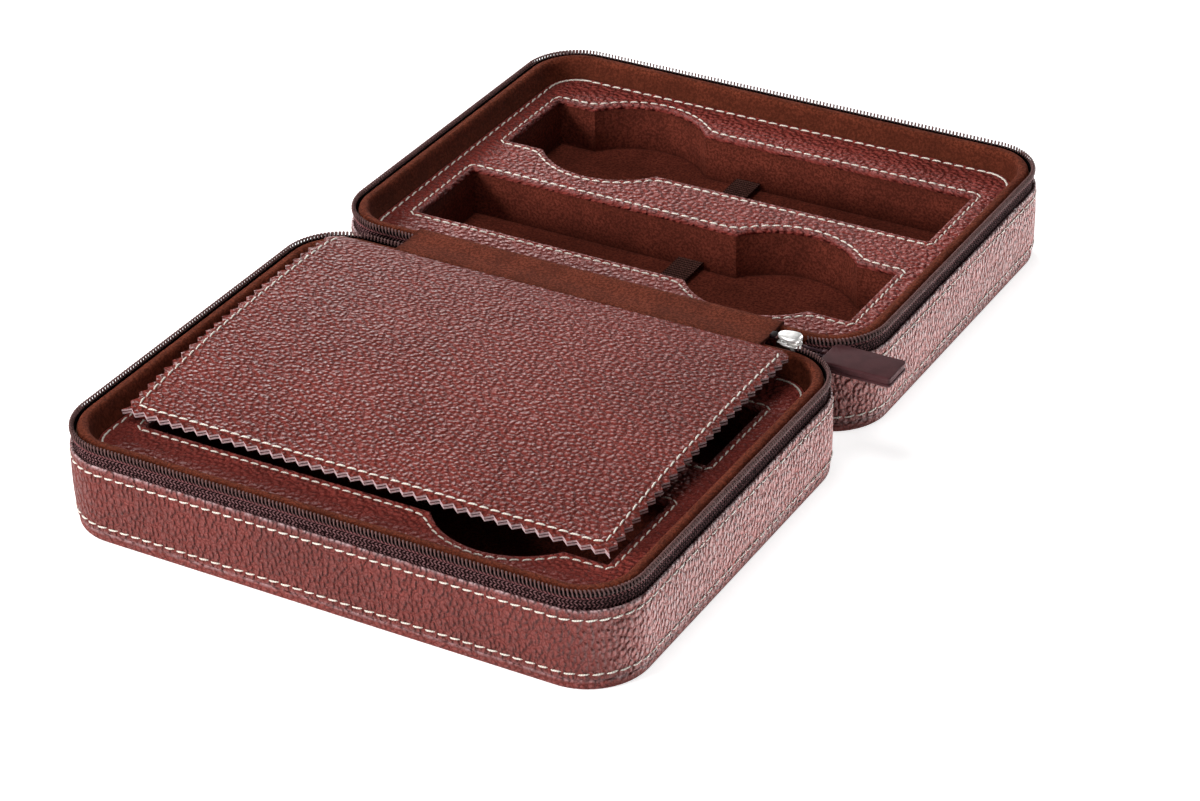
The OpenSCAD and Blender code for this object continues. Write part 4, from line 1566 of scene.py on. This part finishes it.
class CASE_OT_pull(CaseOperator):
    """Link and three-layer pull tab"""

    bl_idname = "case.pull"
    bl_label = "Zip pull"

    def build(self):
        low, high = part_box("pull_link")
        l, w, t = high.x - low.x, high.y - low.y, high.z - low.z
        bm = new_bmesh()
        outer, inner = rounded(l, w, 0.9 * MM), rounded(l - 1.8 * MM, w - 1.8 * MM, 0.3 * MM)
        rows = [[Vector((x, y, z)) for x, y in ring] for ring, z in
                ((outer, -t / 2), (outer, t / 2), (inner, t / 2), (inner, -t / 2))]
        made = loft(bm, rows)
        close_profile(bm, made)
        edges = [e for e in bm.edges if abs(e.verts[0].co.z - e.verts[1].co.z) < 1e-7
                 and e.is_manifold and e.calc_face_angle(0) > 0.8]
        bmesh.ops.bevel(bm, geom=edges, offset=0.2 * MM, affect="EDGES", segments=2,
                        profile=0.5, material=-1)
        bmesh.ops.translate(bm, verts=bm.verts[:], vec=(low + high) / 2)
        piece(bm, "pull_ring", [metal_material("dark_plating", linear(96, 70, 78), 0.35)],
              "link", ["pull_link"], angle=math.radians(40))
        for node, name, slim in (("tab_face", "tab_front_skin", 0.0),
                                 ("tab_back", "tab_rear_skin", 0.0),
                                 ("tab_core", "tab_middle", 0.35)):
            low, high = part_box(node)
            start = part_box("tab_face")[0].x
            if node == "tab_core":
                z0, z1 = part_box("tab_back")[1].z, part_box("tab_face")[0].z
            else:
                z0, z1 = low.z, high.z
            l = high.x - start - 2 * slim * MM
            w = node_size("tab_face", 1) - 2 * slim * MM
            bm = new_bmesh()
            plate(bm, rounded(l, w, 1.2 * MM, 2.8 * MM), z0, z1,
                  bevel=0.12 * MM if node == "tab_core" else 0.4 * MM)
            bmesh.ops.translate(bm, verts=bm.verts[:],
                                vec=(start + slim * MM + l / 2, HINGE_Y, 0))
            if node == "tab_core":
                ear = high.z - low.z
                cx = low.x + ear / 2
                cz = (low.z + high.z) / 2
                w = 1.7 * MM
                ring = [[Vector((cx + r * math.cos(a), HINGE_Y + y, cz + r * math.sin(a)))
                         for a in (math.tau * i / 20 for i in range(20))]
                        for r, y in ((ear / 2, -w / 2), (ear / 2, w / 2), (0.72 * MM, w / 2),
                                     (0.72 * MM, -w / 2))]
                close_profile(bm, loft(bm, ring))
                neck = (start + 0.6 * MM - cx - 1.2 * MM)
                plate_rows = [[Vector((cx + 1.15 * MM + k * (neck + 0.6 * MM), HINGE_Y + y, cz + z))
                               for y, z in ((-w / 2, -0.9 * MM), (w / 2, -0.9 * MM),
                                            (w / 2, 0.7 * MM), (-w / 2, 0.7 * MM))]
                              for k in (0, 1)]
                made = loft(bm, plate_rows)
                cap(bm, made)
            piece(bm, name, [tab_material()], "tab", [node], angle=math.radians(40))


# ---- Hidden layers ----


class CASE_OT_core(CaseOperator):
    """Boards, frames and foam inside the trays"""

    bl_idname = "case.core"
    bl_label = "Hidden layers"

    def build(self):
        board = plain_grain_material("grey_board", linear(96, 70, 58), 0.75, 500.0)
        foam = plain_grain_material("dark_foam", linear(60, 52, 50), 0.8, 900.0)
        dress = {"page_stiffener": board}
        for tray in TRAYS:
            dress[tray + "_frame"] = board
            dress[tray + "_base_board"] = board
            dress[tray + "_insert"] = foam
        for node, material in dress.items():
            obj = next(o for o in bpy.context.scene.objects if o.name == node)
            for slot in obj.material_slots:
                slot.material = material
            if not obj.material_slots:
                obj.data.materials.append(material)


# ---- Stage ----


class CASE_OT_stage(CaseOperator):
    """Pale floor, soft lights and the camera"""

    bl_idname = "case.stage"
    bl_label = "Stage"

    def build(self):
        self.camera()
        self.floor()
        self.lights()

    def camera(self):
        azimuth, elevation = math.radians(30.437), math.radians(31.254)
        roll, distance = math.radians(-1.571), 1.245518
        target = Vector((0.004116, -0.081862, -0.01229))
        back = Vector((math.sin(azimuth) * math.cos(elevation),
                       -math.cos(azimuth) * math.cos(elevation), math.sin(elevation)))
        right = Vector((math.cos(azimuth), math.sin(azimuth), 0))
        up = back.cross(right)
        side = right * math.cos(roll) + up * math.sin(roll)
        data = bpy.data.cameras.new("camera")
        data.sensor_width, data.lens = 36.0, 102.57
        data.clip_start, data.clip_end = 0.05, 20.0
        camera = bpy.data.objects.new("camera", data)
        camera.matrix_world = placed(target + back * distance, side, back)
        bpy.context.scene.collection.objects.link(camera)
        bpy.context.scene.camera = camera

    def floor(self):
        bm = bmesh.new()
        bmesh.ops.create_grid(bm, x_segments=1, y_segments=1, size=6.0)
        mesh = bpy.data.meshes.new("floor")
        bm.to_mesh(mesh)
        bm.free()
        floor = bpy.data.objects.new("floor", mesh)
        bpy.context.scene.collection.objects.link(floor)
        material = bpy.data.materials.new("white_floor")
        material.use_nodes = True
        tree = material.node_tree
        g = Graph(tree)
        tree.nodes.clear()
        out = g.add("OutputMaterial")
        diffuse = g.add("BsdfDiffuse", {"Color": (0.8, 0.8, 0.8, 1.0)})
        glow = g.add("Emission", {"Color": (1.0, 1.0, 1.0, 1.0), "Strength": 0.8})
        both = g.add("AddShader")
        g.give(both.inputs[0], diffuse.outputs[0])
        g.give(both.inputs[1], glow.outputs[0])
        path = g.add("LightPath")
        seen = g.maths("MAXIMUM", path.outputs["Is Camera Ray"], path.outputs["Is Glossy Ray"])
        seen = g.maths("MAXIMUM", seen, path.outputs["Is Transmission Ray"])
        pick = g.add("MixShader")
        g.give(pick.inputs[0], seen)
        g.give(pick.inputs[1], diffuse.outputs[0])
        g.give(pick.inputs[2], both.outputs[0])
        g.give(out.inputs["Surface"], pick.outputs[0])
        mesh.materials.append(material)

    def lights(self):
        world = bpy.data.worlds.new("studio")
        bpy.context.scene.world = world
        world.use_nodes = True
        g = Graph(world.node_tree)
        world.node_tree.nodes.clear()
        out = g.add("OutputWorld")
        soft = g.add("Background", {"Color": (1.0, 1.0, 1.0, 1.0), "Strength": 0.16})
        white = g.add("Background", {"Color": (1.0, 1.0, 1.0, 1.0), "Strength": 1.0})
        height = g.add("SeparateXYZ", {"Vector": g.add("TexCoord").outputs["Generated"]})
        around = g.add("Background", {"Color": (1.0, 1.0, 1.0, 1.0),
                                      "Strength": g.ramp(height.outputs[2], 0.26, 0.5, 1.0, 0.05)})
        path = g.add("LightPath")
        shiny = g.add("MixShader")
        g.give(shiny.inputs[0], path.outputs["Is Glossy Ray"])
        g.give(shiny.inputs[1], soft.outputs[0])
        g.give(shiny.inputs[2], around.outputs[0])
        pick = g.add("MixShader")
        g.give(pick.inputs[0], g.maths("MAXIMUM", path.outputs["Is Camera Ray"],
                                       path.outputs["Is Transmission Ray"]))
        g.give(pick.inputs[1], shiny.outputs[0])
        g.give(pick.inputs[2], white.outputs[0])
        g.give(out.inputs["Surface"], pick.outputs[0])
        middle = Vector((0, HINGE_Y, 0.03))
        lamps = (("back_left", (-1.15, 1.25, 0.55), 0.5, 26.0, True),
                 ("top", (-0.2, -0.3, 1.7), 0.8, 10.0, True),
                 ("front", (-0.9, -1.6, 0.6), 0.7, 40.0, True),
                 ("gloss_right", (0.75, 1.2, 0.16), 0.9, 24.0, False))
        for name, place, size, power, full in lamps:
            data = bpy.data.lights.new(name, "AREA")
            data.shape, data.size, data.energy = "DISK", size, power
            lamp = bpy.data.objects.new(name, data)
            spot = Vector(place)
            lamp.matrix_world = placed(spot, Vector((1, 0.2, 0)), spot - middle)
            lamp.visible_diffuse = full
            bpy.context.scene.collection.objects.link(lamp)
        data = bpy.data.lights.new("table_glow", "AREA")
        data.shape, data.size, data.size_y, data.energy = "RECTANGLE", 0.4, 0.9, 6.5
        glow = bpy.data.objects.new("table_glow", data)
        glow.matrix_world = placed(Vector((TRAY_L / 2 + 0.2015, HINGE_Y + 0.1, 0.4 * MM)),
                                   Vector((1, 0, 0)), Vector((0, 0, -1)))
        glow.visible_diffuse = glow.visible_camera = False
        bpy.context.scene.collection.objects.link(glow)
        bpy.context.scene.view_settings.view_transform = "Standard"


OPERATORS = (
    CASE_OT_stage, CASE_OT_base, CASE_OT_walls, CASE_OT_wall_seams, CASE_OT_tapes,
    CASE_OT_coils, CASE_OT_rims, CASE_OT_panels, CASE_OT_panel_seams, CASE_OT_linings,
    CASE_OT_bands, CASE_OT_hinge, CASE_OT_page, CASE_OT_slider, CASE_OT_pull, CASE_OT_core,
)


class CASE_PT_build(bpy.types.Panel):
    """Lists the settings and the steps"""

    bl_idname = "CASE_PT_build"
    bl_label = "Watch travel case"
    bl_space_type = "VIEW_3D"
    bl_region_type = "UI"
    bl_category = "Case"

    def draw(self, context):
        for name, group in SETTINGS.items():
            box = self.layout.box()
            box.label(text=name.removeprefix("case_").capitalize())
            for field in group.__annotations__:
                box.prop(getattr(context.scene, name), field)
        for operator in OPERATORS:
            self.layout.operator(operator.bl_idname)


CLASSES = (*SETTINGS.values(), *OPERATORS, CASE_PT_build)


def register():
    for cls in CLASSES:
        bpy.utils.register_class(cls)
    for name, group in SETTINGS.items():
        setattr(bpy.types.Scene, name, PointerProperty(type=group))


def unregister():
    for name in SETTINGS:
        delattr(bpy.types.Scene, name)
    for cls in reversed(CLASSES):
        bpy.utils.unregister_class(cls)


def main():
    register()
    for operator in OPERATORS:
        group, name = operator.bl_idname.split(".")
        getattr(getattr(bpy.ops, group), name)()


if __name__ == "__main__":
    main()
